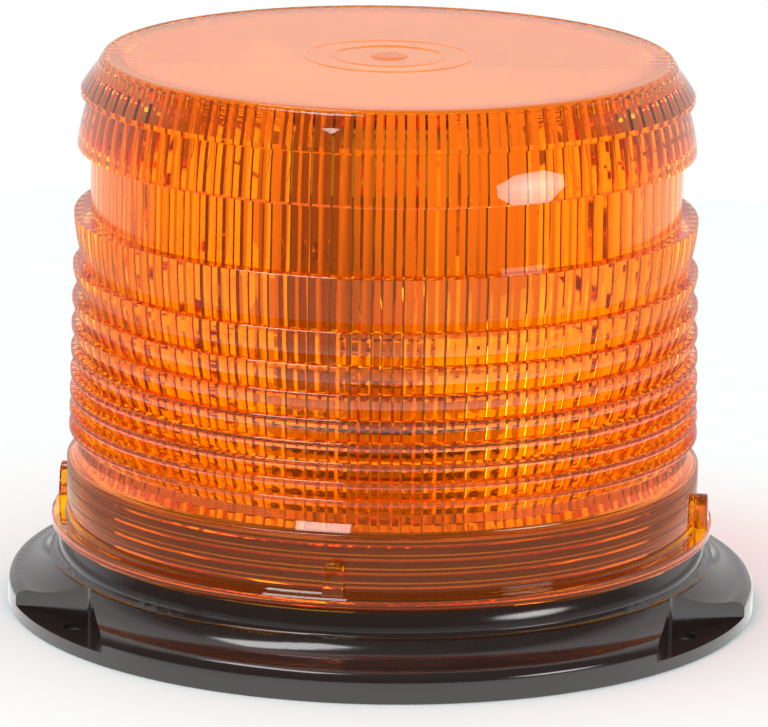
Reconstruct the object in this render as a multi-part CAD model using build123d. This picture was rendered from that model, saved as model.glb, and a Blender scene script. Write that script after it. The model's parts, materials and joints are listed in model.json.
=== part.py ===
from build123d import *
import os
from math import acos, cos, pi, radians, sin, sqrt, tan

# Rotating beacon with a fluted Fresnel lens, in millimetres.
# The origin is the centre of the underside of the base, +Z is up and -Y is the front.

# Base moulding
FLANGE_R = 93.0
FLANGE_WALL_H = 4.8
SHOULDER_WIDTH = 3.4
SHOULDER_H = 2.9
SHOULDER_BULGE = 0.9
COVE_WIDTH = 7.0
COVE_H = 4.5
COVE_DEPTH = 0.9
GROOVE_WIDTH = 2.2
GROOVE_H = 1.4
GROOVE_DEPTH = 0.5
COLLAR_H = 2.6
COLLAR_BEVEL_W = 1.5
COLLAR_BEVEL_H = 2.4
SEAT_WIDTH = 4.7
NECK_H = 15.9
NECK_WALL = 3.2
FLOOR_T = 3.0
CHANNEL_COVER = 1.0
CHANNEL_WIDTH = 4.6
CHANNEL_H = 9.0
CHANNEL_RIBS = 12
RIB_T = 2.0

# Screw pockets in the base flange
POCKET_COUNT = 3
FIRST_POCKET_AZ = 90.0
SCREW_INSET = 7.5
SCREW_HOLE_R = 2.75
POCKET_REACH = 3.9
POCKET_HALF_ANGLE = 70.0
POCKET_CORNER_R = 2.5
POCKET_FLOOR_T = 3.0
POCKET_OVERRUN = 5.0

# Lens
SEAL_T = 0.8
SEAL_WIDTH = 3.4
THREAD_ROOM = 1.4
SKIRT_WALL = 2.8
SKIRT_HEADROOM = 1.9
SKIRT_CEILING_RISE = 0.2
LENS_FLANGE_WIDTH = 3.7
LENS_FLANGE_T = 2.7
FLARE_H = 2.8
FLARE_BULGE = 0.6
WAIST_DEPTH = 2.9
WAIST_H = 2.0
WAIST_WALL = 3.1
RING_PROUD = 1.3
RING_DRAFT = 0.0205
RING_DEPTH = 2.7
RING_LAND = 1.1
RING_BULGE_SHARE = 0.032
RING_HEIGHTS = (13.0, 8.2, 6.7, 6.2, 5.5, 4.8, 4.6, 4.4, 2.6)
BAND_SET_BACK = 4.1
BAND_H = 17.7
UPPER_RING_HEIGHTS = (12.6, 7.2)
UPPER_RING_SET_BACK = 0.8
UPPER_RING_DEPTH = 2.9
UPPER_RING_BULGE = 0.42
TOP_RING_SET_BACK = 1.55
TOP_RING_LAND = 1.5
TOP_RING_BULGE = 0.12
RIM_SET_BACK = 5.7
RIM_H = 2.5
RIM_DRAW_IN = 1.3
RIM_BULGE = 0.35
RIM_WALL = 1.7
TOP_T = 2.4
FLUTE_COUNT = 90
FLUTE_DEPTH = 0.8
FLUTE_LAND_SHARE = 0.3

# Grip lugs on the lens flange
LUG_COUNT = 4
FIRST_LUG_AZ = -98.0
LUG_WIDTH = 5.2
LUG_H = 8.3
LUG_PROUD = 3.2
LUG_TOP_PROUD = 2.8
LUG_ROOT = 1.0
LUG_FOOT = 0.5

# Chassis plate on rubber grommets
PLATE_GAP = 7.0
PLATE_DROP = 4.5
PLATE_T = 1.5
PLATE_RIM_H = 6.0
PLATE_BEND_R = 2.5
POST_COUNT = 3
FIRST_POST_AZ = 30.0
POST_INSET = 10.0
BOSS_R = 5.0
BOSS_RIB_T = 2.4
BOSS_RIB_CLEARANCE = 1.0
GROMMET_R = 6.0
GROMMET_GROOVE_R = 4.4
GROMMET_LOBE_T = 3.2
SLEEVE_R = 3.0
SLEEVE_WALL = 0.9
CHASSIS_SCREW_R = 2.0
CHASSIS_SCREW_DEPTH = 12.0
CHASSIS_HEAD_R = 4.0
CHASSIS_HEAD_H = 2.4
WASHER_R = 5.5
WASHER_T = 0.8

# Centre post and lamp
PILLAR_R = 7.0
PILLAR_BORE_R = 5.2
PILLAR_FLANGE_R = 15.0
PILLAR_FLANGE_T = 2.5
PILLAR_COLLAR_R = 10.5
PILLAR_COLLAR_T = 3.5
PILLAR_END_H = 1.3
PILLAR_RIVETS = 3
RIVET_CIRCLE_R = 11.5
RIVET_R = 1.5
RIVET_HEAD_R = 2.6
RIVET_HEAD_H = 1.0
LAMP_HOLDER_R = 11.0
LAMP_HOLDER_T = 3.0
LAMP_SPIGOT_H = 3.0
LIGHT_CENTRE_H = 25.0
LAMP_FLANGE_R = 7.2
LAMP_FLANGE_T = 1.6
LAMP_BODY_R = 4.6
LAMP_BODY_H = 7.0
LAMP_TAB_W = 6.0
LAMP_TAB_T = 0.8
LAMP_TAB_H = 8.0
BULB_R = 4.8
BULB_OVER_FOCUS = 12.0
BULB_WALL = 0.7
FILAMENT_H = 5.0
FILAMENT_R = 0.7
FILAMENT_LEG_R = 0.35
FILAMENT_LEG_INSET = 1.6
CLIP_WIRE_R = 0.5
CLIP_WIRE_INSET = 1.6
CLIP_WIRE_DROP = 1.0
CLIP_REACH = 3.0
CLIP_BEND_R = 0.9
CLIP_V = 8.2

# Drive
MODULE = 0.8
GEAR_TEETH = 72
PINION_TEETH = 12
PRESSURE_ANGLE = 20.0
GEAR_ADDENDUM = 0.6
PINION_ADDENDUM = 0.7
DEDENDUM = 1.0
BACKLASH = 0.22
GEAR_T = 5.5
GEAR_RIM = 3.2
GEAR_WEB_T = 2.6
HUB_R = 12.0
HUB_DROP = 2.0
HUB_RISE = 3.6
BUSH_WALL = 2.2
RUNNING_CLEARANCE = 0.05
FIT_CLEARANCE = 0.02
END_PLAY = 0.1
THRUST_WASHER_T = 0.5
CLIP_T = 1.0
CLIP_RING_R = 9.4
CLIP_GROOVE = 1.0
CLIP_MOUTH = 7.2

# Motor
MOTOR_AZ = 90.0
MOTOR_R = 12.2
MOTOR_FLOAT = 1.1
MOTOR_H = 25.0
MOTOR_EDGE_R = 1.5
MOTOR_BOSS_R = 3.4
MOTOR_BOSS_H = 1.2
END_CAP_H = 4.0
END_BOSS_R = 4.0
END_BOSS_H = 1.4
END_CAP_STEP = 0.4
SHAFT_R = 1.15
SHAFT_DEPTH = 4.0
SHAFT_TOP_INSET = 0.3
PINION_T = 4.6
PINION_TOP_INSET = 0.5
BRACKET_T = 1.5
BRACKET_DROP = 2.0
BRACKET_W = 14.0
BRACKET_GAP = 1.2
BRACKET_BEND_R = 2.5
FACE_SCREW_R = 1.25
FACE_SCREW_OFFSET = 8.0
FACE_SCREW_DEPTH = 3.0
FACE_HEAD_R = 2.2
FACE_HEAD_H = 1.4
FOOT_SCREW_R = 1.5
FOOT_HEAD_R = 2.8
FOOT_HEAD_H = 1.6
HEAD_CLEARANCE = 0.5
FOOT_NUT_T = 2.0
FOOT_NUT_ACROSS = 5.5
TAB_W = 2.8
TAB_T = 0.5
TAB_L = 5.0
TAB_OFFSET = 6.0
TAB_HOLE_R = 0.7

# Reflector
REFLECTOR_AZ = 50.0
FOCAL_LENGTH = 22.0
REFLECTOR_T = 1.8
REFLECTOR_HALF_W = 46.0
REFLECTOR_HALF_H = 24.0
REFLECTOR_BOSS_R = 3.6
REFLECTOR_BOSS_Z = 12.0
REFLECTOR_SEAT = 3.4
ARM_T = 1.5
ARM_W = 18.0
ARM_TOP_MARGIN = 1.5
ARM_FOOT_R = 15.0
ARM_BEND_R = 2.5
ARM_SCREW_R = 1.5
ARM_HEAD_R = 2.8
ARM_HEAD_H = 1.8
FOOT_SCREW_Y = 5.5
ARM_SCREW_DEPTH = 3.6

# Electrical pieces
OUTLET_R = 5.0
CABLE_R = 3.2
OUTLET_LIP_R = 7.5
OUTLET_LIP_T = 1.8
OUTLET_LIP_CHAMFER = 0.8
TERMINAL_AZ = 215.0
TERMINAL_AT_R = 43.0
TERMINAL_L = 22.0
TERMINAL_W = 12.0
TERMINAL_H = 10.0
TERMINAL_SCREW_R = 2.1
TERMINAL_SCREW_H = 4.0
TERMINAL_WELL_H = 8.0
TERMINAL_PITCH = 10.0
TERMINAL_EDGE_R = 2.0
WAY_R = 1.6
WAY_H = 3.0
WAY_SPLIT_W = 1.2
WAY_SPLIT_H = 3.0
DRIVER_SLOT_W = 0.8
DRIVER_SLOT_H = 1.0

# Levels and radii that follow from the sizes above
SHOULDER_R = FLANGE_R - SHOULDER_WIDTH
SHOULDER_Z = FLANGE_WALL_H + SHOULDER_H
STEP_R = SHOULDER_R - COVE_WIDTH
STEP_Z = SHOULDER_Z + COVE_H
GROOVE_R = STEP_R - GROOVE_WIDTH
GROOVE_TOP_Z = STEP_Z + GROOVE_H
COLLAR_TOP_Z = GROOVE_TOP_Z + COLLAR_H
SEAT_R = GROOVE_R - COLLAR_BEVEL_W
SEAT_Z = COLLAR_TOP_Z + COLLAR_BEVEL_H
NECK_R = SEAT_R - SEAT_WIDTH
NECK_TOP_Z = SEAT_Z + NECK_H
CHANNEL_R = GROOVE_R - CHANNEL_COVER
SCREW_CIRCLE_R = FLANGE_R - SCREW_INSET
POCKET_APEX_R = SCREW_CIRCLE_R - POCKET_REACH
LENS_Z = SEAT_Z + SEAL_T
LENS_FLANGE_TOP_Z = LENS_Z + LENS_FLANGE_T
SKIRT_BORE_R = NECK_R + THREAD_ROOM
SKIRT_R = SKIRT_BORE_R + SKIRT_WALL
LENS_FLANGE_R = SKIRT_R + LENS_FLANGE_WIDTH
SKIRT_TOP_Z = NECK_TOP_Z + SKIRT_HEADROOM
SKIRT_CEILING_Z = SKIRT_TOP_Z + SKIRT_CEILING_RISE
WAIST_R = SKIRT_R - WAIST_DEPTH
WAIST_TOP_Z = SKIRT_TOP_Z + FLARE_H + WAIST_H
RING_TIP_R = WAIST_R + RING_PROUD
FIRST_RING_Z = WAIST_TOP_Z + sum(RING_HEIGHTS)
BAND_R = RING_TIP_R - BAND_SET_BACK
BAND_TOP_Z = FIRST_RING_Z + BAND_H
UPPER_RING_TIP_R = RING_TIP_R - UPPER_RING_SET_BACK
UPPER_RING_ROOT_R = UPPER_RING_TIP_R - UPPER_RING_DEPTH
TOP_RING_TIP_R = RING_TIP_R - TOP_RING_SET_BACK
TOP_RING_Z = BAND_TOP_Z + UPPER_RING_HEIGHTS[0]
RIM_R = RING_TIP_R - RIM_SET_BACK
RIM_Z = TOP_RING_Z + UPPER_RING_HEIGHTS[1]
LENS_TOP_Z = RIM_Z + RIM_H
FLUTE_LOW_R = WAIST_R - WAIST_WALL
FLUTE_HIGH_R = RIM_R - RIM_WALL
PLATE_R = NECK_R - NECK_WALL - PLATE_GAP
PLATE_Z = NECK_TOP_Z - PLATE_DROP
PLATE_TOP_Z = PLATE_Z + PLATE_T
POST_CIRCLE_R = PLATE_R - POST_INSET
GROMMET_LOW_Z = PLATE_Z - GROMMET_LOBE_T
GROMMET_HIGH_Z = PLATE_TOP_Z + GROMMET_LOBE_T
MOTOR_LOW_Z = PLATE_TOP_Z + MOTOR_FLOAT + END_BOSS_H + END_CAP_H
MOTOR_FACE_Z = MOTOR_LOW_Z + MOTOR_H
BRACKET_TOP_Z = MOTOR_FACE_Z + BRACKET_T
GEAR_Z = BRACKET_TOP_Z + BRACKET_DROP
GEAR_TOP_Z = GEAR_Z + GEAR_T
GEAR_PITCH_R = MODULE * GEAR_TEETH / 2
PINION_PITCH_R = MODULE * PINION_TEETH / 2
MOTOR_AT_R = GEAR_PITCH_R + PINION_PITCH_R
HUB_Z = GEAR_Z - HUB_DROP
HUB_TOP_Z = GEAR_TOP_Z + HUB_RISE
BUSH_BORE_R = PILLAR_R + RUNNING_CLEARANCE
BUSH_R = BUSH_BORE_R + BUSH_WALL
THRUST_Z = HUB_Z - END_PLAY
CLIP_Z = HUB_TOP_Z + END_PLAY
PILLAR_TOP_Z = CLIP_Z + CLIP_T + PILLAR_END_H
LAMP_SEAT_Z = PILLAR_TOP_Z + LAMP_HOLDER_T
FOCUS_Z = LAMP_SEAT_Z + LIGHT_CENTRE_H
BULB_TOP_Z = FOCUS_Z + BULB_OVER_FOCUS
ARM_SEAT_X = -(FOCAL_LENGTH + REFLECTOR_T + REFLECTOR_SEAT)

# Length added to a cutter so that it passes right through a wall
THROUGH = 1.0


def polar(radius, azimuth):
    return radius * cos(radians(azimuth)), radius * sin(radians(azimuth))


def azimuths(count, first):
    return [first + 360.0 * i / count for i in range(count)]


def bar(radius, low, high, at=(0, 0)):
    return Pos(at[0], at[1], low) * extrude(Circle(radius), high - low)


def tube(outer, inner, low, high, at=(0, 0)):
    return Pos(at[0], at[1], low) * extrude(Circle(outer) - Circle(inner), high - low)


def turned(edges):
    return revolve(make_face(edges), Axis.Z)


def path(points):
    """Straight lines through points given as radius and height."""
    return Polyline(*[(r, 0, z) for r, z in points])


def arc(start, end, sagitta):
    """Arc between two points given as radius and height; the sign sets its side."""
    r, z = (start[0] + end[0]) / 2, (start[1] + end[1]) / 2
    along = (Vector(end[0] - start[0], 0, end[1] - start[1])).normalized()
    middle = Vector(r, 0, z) + Vector(along.Z, 0, -along.X) * sagitta
    return ThreePointArc((start[0], 0, start[1]), middle, (end[0], 0, end[1]))


def slab(length, width, low, high, at=(0, 0), turn=0.0):
    return Pos(at[0], at[1], low) * Rot(0, 0, turn) * extrude(Rectangle(length, width), high - low)


def motor_frame():
    """Placement whose X runs outwards from the centre through the motor's axis."""
    x, y = polar(MOTOR_AT_R, MOTOR_AZ)
    return Pos(x, y, 0) * Rot(0, 0, MOTOR_AZ)


def reflector_frame():
    """Placement whose X is the direction in which the reflector throws its beam."""
    return Rot(0, 0, REFLECTOR_AZ)


# Base moulding

def base_outline():
    """Half section of the base before its well, pockets and channel are cut."""
    wall_top = (FLANGE_R, FLANGE_WALL_H)
    shoulder = (SHOULDER_R, SHOULDER_Z)
    step = (STEP_R, STEP_Z)
    groove = (GROOVE_R, GROOVE_TOP_Z)
    return [
        path([(0, 0), (FLANGE_R, 0), wall_top]),
        arc(wall_top, shoulder, SHOULDER_BULGE),
        arc(shoulder, step, -COVE_DEPTH),
        arc(step, groove, -GROOVE_DEPTH),
        path([groove, (GROOVE_R, COLLAR_TOP_Z), (SEAT_R, SEAT_Z), (NECK_R, SEAT_Z),
              (NECK_R, NECK_TOP_Z), (0, NECK_TOP_Z), (0, 0)]),
    ]


def pocket_cutter(azimuth):
    """Wedge with a rounded inner corner that opens through the flange's outer wall."""
    reach = FLANGE_R + POCKET_OVERRUN - POCKET_APEX_R
    spread = reach * tan(radians(POCKET_HALF_ANGLE))
    apex = POCKET_APEX_R
    plan = make_face(Polyline((apex, 0), (apex + reach, spread), (apex + reach, -spread), close=True))
    plan = fillet(plan.vertices().sort_by(Axis.X)[0], POCKET_CORNER_R)
    return Rot(0, 0, azimuth) * Pos(0, 0, POCKET_FLOOR_T) * extrude(plan, SEAT_Z)


def channel_cutter():
    """Ring under the flange that keeps the moulding's walls even, with ribs left in it."""
    ring = tube(CHANNEL_R, CHANNEL_R - CHANNEL_WIDTH, 0, CHANNEL_H)
    for azimuth in azimuths(CHANNEL_RIBS, 0):
        rib = slab(2 * CHANNEL_WIDTH, RIB_T, 0, CHANNEL_H, (CHANNEL_R - CHANNEL_WIDTH / 2, 0))
        ring -= Rot(0, 0, azimuth) * rib
    return ring


def make_base_housing():
    base = turned(base_outline())
    base -= bar(NECK_R - NECK_WALL, FLOOR_T, NECK_TOP_Z)
    base -= channel_cutter()
    base -= bar(OUTLET_R, 0, FLOOR_T)
    for azimuth in azimuths(POCKET_COUNT, FIRST_POCKET_AZ):
        base -= pocket_cutter(azimuth)
        base -= bar(SCREW_HOLE_R, 0, POCKET_FLOOR_T, polar(SCREW_CIRCLE_R, azimuth))
    pilot = CHASSIS_SCREW_R + FIT_CLEARANCE
    rib_top = PLATE_TOP_Z - PLATE_RIM_H - BOSS_RIB_CLEARANCE
    for azimuth in azimuths(POST_COUNT, FIRST_POST_AZ):
        at = polar(POST_CIRCLE_R, azimuth)
        wall = (NECK_R - NECK_WALL / 2 + POST_CIRCLE_R) / 2
        rib = slab(2 * (wall - POST_CIRCLE_R), BOSS_RIB_T, FLOOR_T, rib_top, (wall, 0))
        base += Rot(0, 0, azimuth) * rib
        base += bar(BOSS_R, FLOOR_T, GROMMET_LOW_Z, at)
        base -= bar(pilot, GROMMET_LOW_Z - CHASSIS_SCREW_DEPTH, GROMMET_LOW_Z, at)
    return base


def make_lens_seal():
    inner = NECK_R + 2 * RUNNING_CLEARANCE
    return tube(inner + SEAL_WIDTH, inner, SEAT_Z, SEAT_Z + SEAL_T)


# Lens

def ring_tip_r(level):
    return RING_TIP_R + (FIRST_RING_Z - level) * RING_DRAFT


def lens_outline():
    """Outer half section: skirt, rising Fresnel steps, plain band, falling steps and rim."""
    skirt_top = (SKIRT_R, SKIRT_TOP_Z)
    waist = (WAIST_R, SKIRT_TOP_Z + FLARE_H)
    foot = (WAIST_R, WAIST_TOP_Z)
    edges = [
        path([(0, LENS_Z), (LENS_FLANGE_R, LENS_Z), (LENS_FLANGE_R, LENS_FLANGE_TOP_Z),
              (SKIRT_R, LENS_FLANGE_TOP_Z), skirt_top]),
        arc(skirt_top, waist, FLARE_BULGE),
        path([waist, foot]),
    ]
    level = WAIST_TOP_Z
    for height in reversed(RING_HEIGHTS):
        level += height
        tip = (ring_tip_r(level), level)
        land_top = (tip[0], level + RING_LAND)
        edges.append(arc(foot, tip, height * RING_BULGE_SHARE))
        foot = (tip[0] - RING_DEPTH, land_top[1])
        edges.append(path([tip, land_top, foot]))
    upper_tip = (UPPER_RING_TIP_R, BAND_TOP_Z)
    upper_root = (UPPER_RING_ROOT_R, TOP_RING_Z)
    cone_foot = (TOP_RING_TIP_R, TOP_RING_Z + TOP_RING_LAND)
    rim = (RIM_R, RIM_Z)
    disc = (RIM_R - RIM_DRAW_IN, LENS_TOP_Z)
    edges += [
        path([foot, (BAND_R, foot[1]), (BAND_R, BAND_TOP_Z), upper_tip]),
        arc(upper_tip, upper_root, UPPER_RING_BULGE),
        path([upper_root, (TOP_RING_TIP_R, TOP_RING_Z), cone_foot]),
        arc(cone_foot, rim, TOP_RING_BULGE),
        arc(rim, disc, RIM_BULGE),
        path([disc, (0, LENS_TOP_Z), (0, LENS_Z)]),
    ]
    return edges


def fluted_section(valley_r, level):
    """Outline of the bore: a narrow flat land and a round rib for each flute."""
    pitch = 360.0 / FLUTE_COUNT
    land = pitch * FLUTE_LAND_SHARE
    flutes = []
    for azimuth in azimuths(FLUTE_COUNT, 0):
        valley = polar(valley_r, azimuth + land)
        crest = polar(valley_r - FLUTE_DEPTH, azimuth + (land + pitch) / 2)
        flutes.append(Line(polar(valley_r, azimuth), valley))
        flutes.append(ThreePointArc(valley, crest, polar(valley_r, azimuth + pitch)))
    return Pos(0, 0, level) * make_face(flutes)


def fluted_bore():
    """The inside of the lens: upright rounded flutes in a wall that closes in towards the top."""
    low = fluted_section(FLUTE_LOW_R, LENS_Z)
    high = fluted_section(FLUTE_HIGH_R, LENS_TOP_Z - TOP_T)
    return loft([low, high], ruled=True)


def grip_lug():
    """Upright block with an arched top, whose outer face leans in a little towards the skirt."""
    root = SKIRT_R - LUG_ROOT
    tip = SKIRT_R + LUG_PROUD
    low = LENS_FLANGE_TOP_Z - LUG_FOOT
    top = LENS_FLANGE_TOP_Z + LUG_H
    side = path([(root, low), (tip, low), (SKIRT_R + LUG_TOP_PROUD, top), (root, top), (root, low)])
    body = extrude(make_face(side), LUG_WIDTH / 2, both=True)
    arch = Rectangle(LUG_WIDTH, top - low - LUG_WIDTH / 2, align=(Align.CENTER, Align.MIN))
    arch += Pos(0, top - low - LUG_WIDTH / 2) * Circle(LUG_WIDTH / 2)
    front = Plane((root, 0, low), x_dir=(0, 1, 0), z_dir=(1, 0, 0)) * arch
    return body & extrude(front, LUG_PROUD + LUG_ROOT + THROUGH)


def make_lens_dome():
    lens = turned(lens_outline())
    lens -= fluted_bore()
    lens -= bar(SKIRT_BORE_R, LENS_Z, SKIRT_CEILING_Z)
    for azimuth in azimuths(LUG_COUNT, FIRST_LUG_AZ):
        lens += Rot(0, 0, azimuth) * grip_lug()
    return lens


# Chassis plate and its rubber mountings

def make_chassis_plate():
    """Pressed steel disc with a turned-down rim."""
    low = PLATE_TOP_Z - PLATE_RIM_H
    outline = [(0, PLATE_Z), (PLATE_R - PLATE_T, PLATE_Z), (PLATE_R - PLATE_T, low),
               (PLATE_R, low), (PLATE_R, PLATE_TOP_Z), (0, PLATE_TOP_Z)]
    section = make_face(path(outline + outline[:1]))
    bend = [v for v in section.vertices() if v.X > PLATE_R - PLATE_T / 2 and v.Z > PLATE_Z]
    plate = revolve(fillet(bend, PLATE_BEND_R), Axis.Z)
    plate -= bar(PILLAR_BORE_R, PLATE_Z, PLATE_TOP_Z)
    hole = GROMMET_GROOVE_R + FIT_CLEARANCE
    for azimuth in azimuths(POST_COUNT, FIRST_POST_AZ):
        plate -= bar(hole, PLATE_Z, PLATE_TOP_Z, polar(POST_CIRCLE_R, azimuth))
    for azimuth in azimuths(PILLAR_RIVETS, 0):
        at = polar(RIVET_CIRCLE_R, azimuth)
        plate -= bar(RIVET_R + FIT_CLEARANCE, PLATE_Z, PLATE_TOP_Z, at)
    for side in (-1, 1):
        foot = bar(FOOT_SCREW_R + FIT_CLEARANCE, PLATE_Z, PLATE_TOP_Z, (0, side * foot_screw_offset()))
        plate -= motor_frame() * foot
    return plate


def make_vibration_grommets():
    inner = SLEEVE_R + FIT_CLEARANCE
    profile = [(inner, GROMMET_LOW_Z), (GROMMET_R, GROMMET_LOW_Z), (GROMMET_R, PLATE_Z),
               (GROMMET_GROOVE_R, PLATE_Z), (GROMMET_GROOVE_R, PLATE_TOP_Z),
               (GROMMET_R, PLATE_TOP_Z), (GROMMET_R, GROMMET_HIGH_Z), (inner, GROMMET_HIGH_Z)]
    grommet = turned(path(profile + profile[:1]))
    return around_posts(grommet)


def around_posts(piece):
    spots = [polar(POST_CIRCLE_R, azimuth) for azimuth in azimuths(POST_COUNT, FIRST_POST_AZ)]
    return Compound([Pos(x, y, 0) * piece for x, y in spots])


def make_grommet_sleeves():
    return around_posts(tube(SLEEVE_R, SLEEVE_R - SLEEVE_WALL, GROMMET_LOW_Z, GROMMET_HIGH_Z))


def make_chassis_washers():
    inner = CHASSIS_SCREW_R + FIT_CLEARANCE
    return around_posts(tube(WASHER_R, inner, GROMMET_HIGH_Z, GROMMET_HIGH_Z + WASHER_T))


def pan_screw(shank_r, head_r, head_h, seat, length):
    """Domed screw with a cross recess; seat is the level under its head."""
    head = bar(head_r, seat, seat + head_h)
    head = fillet(head.edges().sort_by(Axis.Z)[-1], head_h * 0.45)
    head += bar(shank_r, seat - length, seat)
    for turn in (0, 90):
        head -= slab(head_r * 1.1, head_r * 0.24, seat + head_h * 0.55, seat + head_h, turn=turn)
    return head


def make_chassis_screws():
    seat = GROMMET_HIGH_Z + WASHER_T
    length = seat - GROMMET_LOW_Z + CHASSIS_SCREW_DEPTH - END_PLAY
    return around_posts(pan_screw(CHASSIS_SCREW_R, CHASSIS_HEAD_R, CHASSIS_HEAD_H, seat, length))


# Centre pillar and lamp

def make_centre_pillar():
    """Hollow pillar: flange on the plate, collar under the hub, groove for the clip."""
    flange_top = PLATE_TOP_Z + PILLAR_FLANGE_T
    pillar = tube(PILLAR_FLANGE_R, PILLAR_BORE_R, PLATE_TOP_Z, flange_top)
    pillar += tube(PILLAR_R, PILLAR_BORE_R, flange_top, PILLAR_TOP_Z)
    collar_top = THRUST_Z - THRUST_WASHER_T
    pillar += tube(PILLAR_COLLAR_R, PILLAR_BORE_R, collar_top - PILLAR_COLLAR_T, collar_top)
    pillar -= tube(PILLAR_R + THROUGH, PILLAR_R - CLIP_GROOVE, CLIP_Z, CLIP_Z + CLIP_T)
    for azimuth in azimuths(PILLAR_RIVETS, 0):
        at = polar(RIVET_CIRCLE_R, azimuth)
        pillar -= bar(RIVET_R + FIT_CLEARANCE, PLATE_TOP_Z, flange_top, at)
    return pillar


def make_pillar_rivets():
    top = PLATE_TOP_Z + PILLAR_FLANGE_T
    rivet = bar(RIVET_R, PLATE_Z, top)
    rivet += bar(RIVET_HEAD_R, top, top + RIVET_HEAD_H)
    rivet += bar(RIVET_HEAD_R, PLATE_Z - RIVET_HEAD_H, PLATE_Z)
    spots = [polar(RIVET_CIRCLE_R, azimuth) for azimuth in azimuths(PILLAR_RIVETS, 0)]
    return Compound([Pos(x, y, 0) * rivet for x, y in spots])


def make_thrust_washer():
    return tube(PILLAR_COLLAR_R, BUSH_BORE_R, THRUST_Z - THRUST_WASHER_T, THRUST_Z)


def make_retaining_clip():
    """Open spring ring sprung into the pillar's groove above the hub."""
    inner = PILLAR_R - CLIP_GROOVE + RUNNING_CLEARANCE
    low = CLIP_Z + RUNNING_CLEARANCE
    high = CLIP_Z + CLIP_T - RUNNING_CLEARANCE
    clip = tube(CLIP_RING_R, inner, low, high)
    return clip - slab(2 * CLIP_RING_R, CLIP_MOUTH, low, high, (CLIP_RING_R, 0))


def make_lamp_holder():
    """Insulating cup on the pillar's top that carries the lamp's flange."""
    holder = tube(LAMP_HOLDER_R, LAMP_BODY_R + RUNNING_CLEARANCE, PILLAR_TOP_Z, LAMP_SEAT_Z)
    spigot = PILLAR_BORE_R - RUNNING_CLEARANCE
    holder += tube(spigot, LAMP_BODY_R + RUNNING_CLEARANCE, PILLAR_TOP_Z - LAMP_SPIGOT_H, PILLAR_TOP_Z)
    passage = bar(CLIP_WIRE_R + RUNNING_CLEARANCE, -LAMP_HOLDER_R, LAMP_HOLDER_R)
    for side in (-1, 1):
        holder -= Pos(0, side * clip_wire_y(), clip_wire_z()) * Rot(0, 90, 0) * passage
    return holder


def clip_wire_y():
    return LAMP_HOLDER_R - CLIP_WIRE_INSET


def clip_wire_z():
    return LAMP_SEAT_Z - CLIP_WIRE_DROP


def make_lamp_base():
    """Metal flange and body of the lamp with its contact tab below."""
    low = LAMP_SEAT_Z - LAMP_BODY_H
    base = bar(LAMP_FLANGE_R, LAMP_SEAT_Z, LAMP_SEAT_Z + LAMP_FLANGE_T)
    base += bar(LAMP_BODY_R, low, LAMP_SEAT_Z)
    base += slab(LAMP_TAB_W, LAMP_TAB_T, low - LAMP_TAB_H, low)
    return base


def make_lamp_glass():
    """Thin capsule with a domed top."""
    low = LAMP_SEAT_Z + LAMP_FLANGE_T
    outer = bulb_solid(BULB_R, low, BULB_TOP_Z)
    return outer - bulb_solid(BULB_R - BULB_WALL, low + BULB_WALL, BULB_TOP_Z - BULB_WALL)


def bulb_solid(radius, low, high):
    capsule = bar(radius, low, high - radius)
    return capsule + Pos(0, 0, high - radius) * Sphere(radius)


def make_lamp_filament():
    """Coil stood on two legs that rise from the lamp's base inside the capsule."""
    low = LAMP_SEAT_Z + LAMP_FLANGE_T + BULB_WALL
    coil = bar(FILAMENT_R, FOCUS_Z - FILAMENT_H / 2, FOCUS_Z + FILAMENT_H / 2)
    leg_x = BULB_R - BULB_WALL - FILAMENT_LEG_INSET
    for side, top in ((-1, FOCUS_Z - FILAMENT_H / 2), (1, FOCUS_Z + FILAMENT_H / 2)):
        coil += bar(FILAMENT_LEG_R, low, top + FILAMENT_LEG_R, (side * leg_x, 0))
        bridge = bar(FILAMENT_LEG_R, 0, leg_x)
        coil += Pos(0, 0, top) * Rot(0, side * 90, 0) * bridge
    return coil


def make_lamp_clip():
    """Bent wire that hooks through the holder and presses on the lamp's flange."""
    y = clip_wire_y()
    low = clip_wire_z()
    top = LAMP_SEAT_Z + LAMP_FLANGE_T + CLIP_WIRE_R + RUNNING_CLEARANCE
    end = -LAMP_HOLDER_R
    out = sqrt(LAMP_HOLDER_R ** 2 - y ** 2) + CLIP_REACH
    points = [(end, -y, low), (out, -y, low), (out, -y, top), (0, -CLIP_V, top), (-CLIP_V, 0, top),
              (0, CLIP_V, top), (out, y, top), (out, y, low), (end, y, low)]
    line = FilletPolyline(*points, radius=CLIP_BEND_R)
    start = Plane(origin=line @ 0, z_dir=line % 0)
    return sweep(start * Circle(CLIP_WIRE_R), path=line)


# Drive

def involute_half_angle(radius, pitch_r, teeth):
    """Half the angle that a tooth covers at a radius."""
    base_r = pitch_r * cos(radians(PRESSURE_ANGLE))
    at_pitch = (pi * MODULE / 2 - BACKLASH / 2) / (2 * pitch_r)
    pressure = radians(PRESSURE_ANGLE)
    local = acos(min(1.0, base_r / radius))
    return at_pitch + (tan(pressure) - pressure) - (tan(local) - local)


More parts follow.
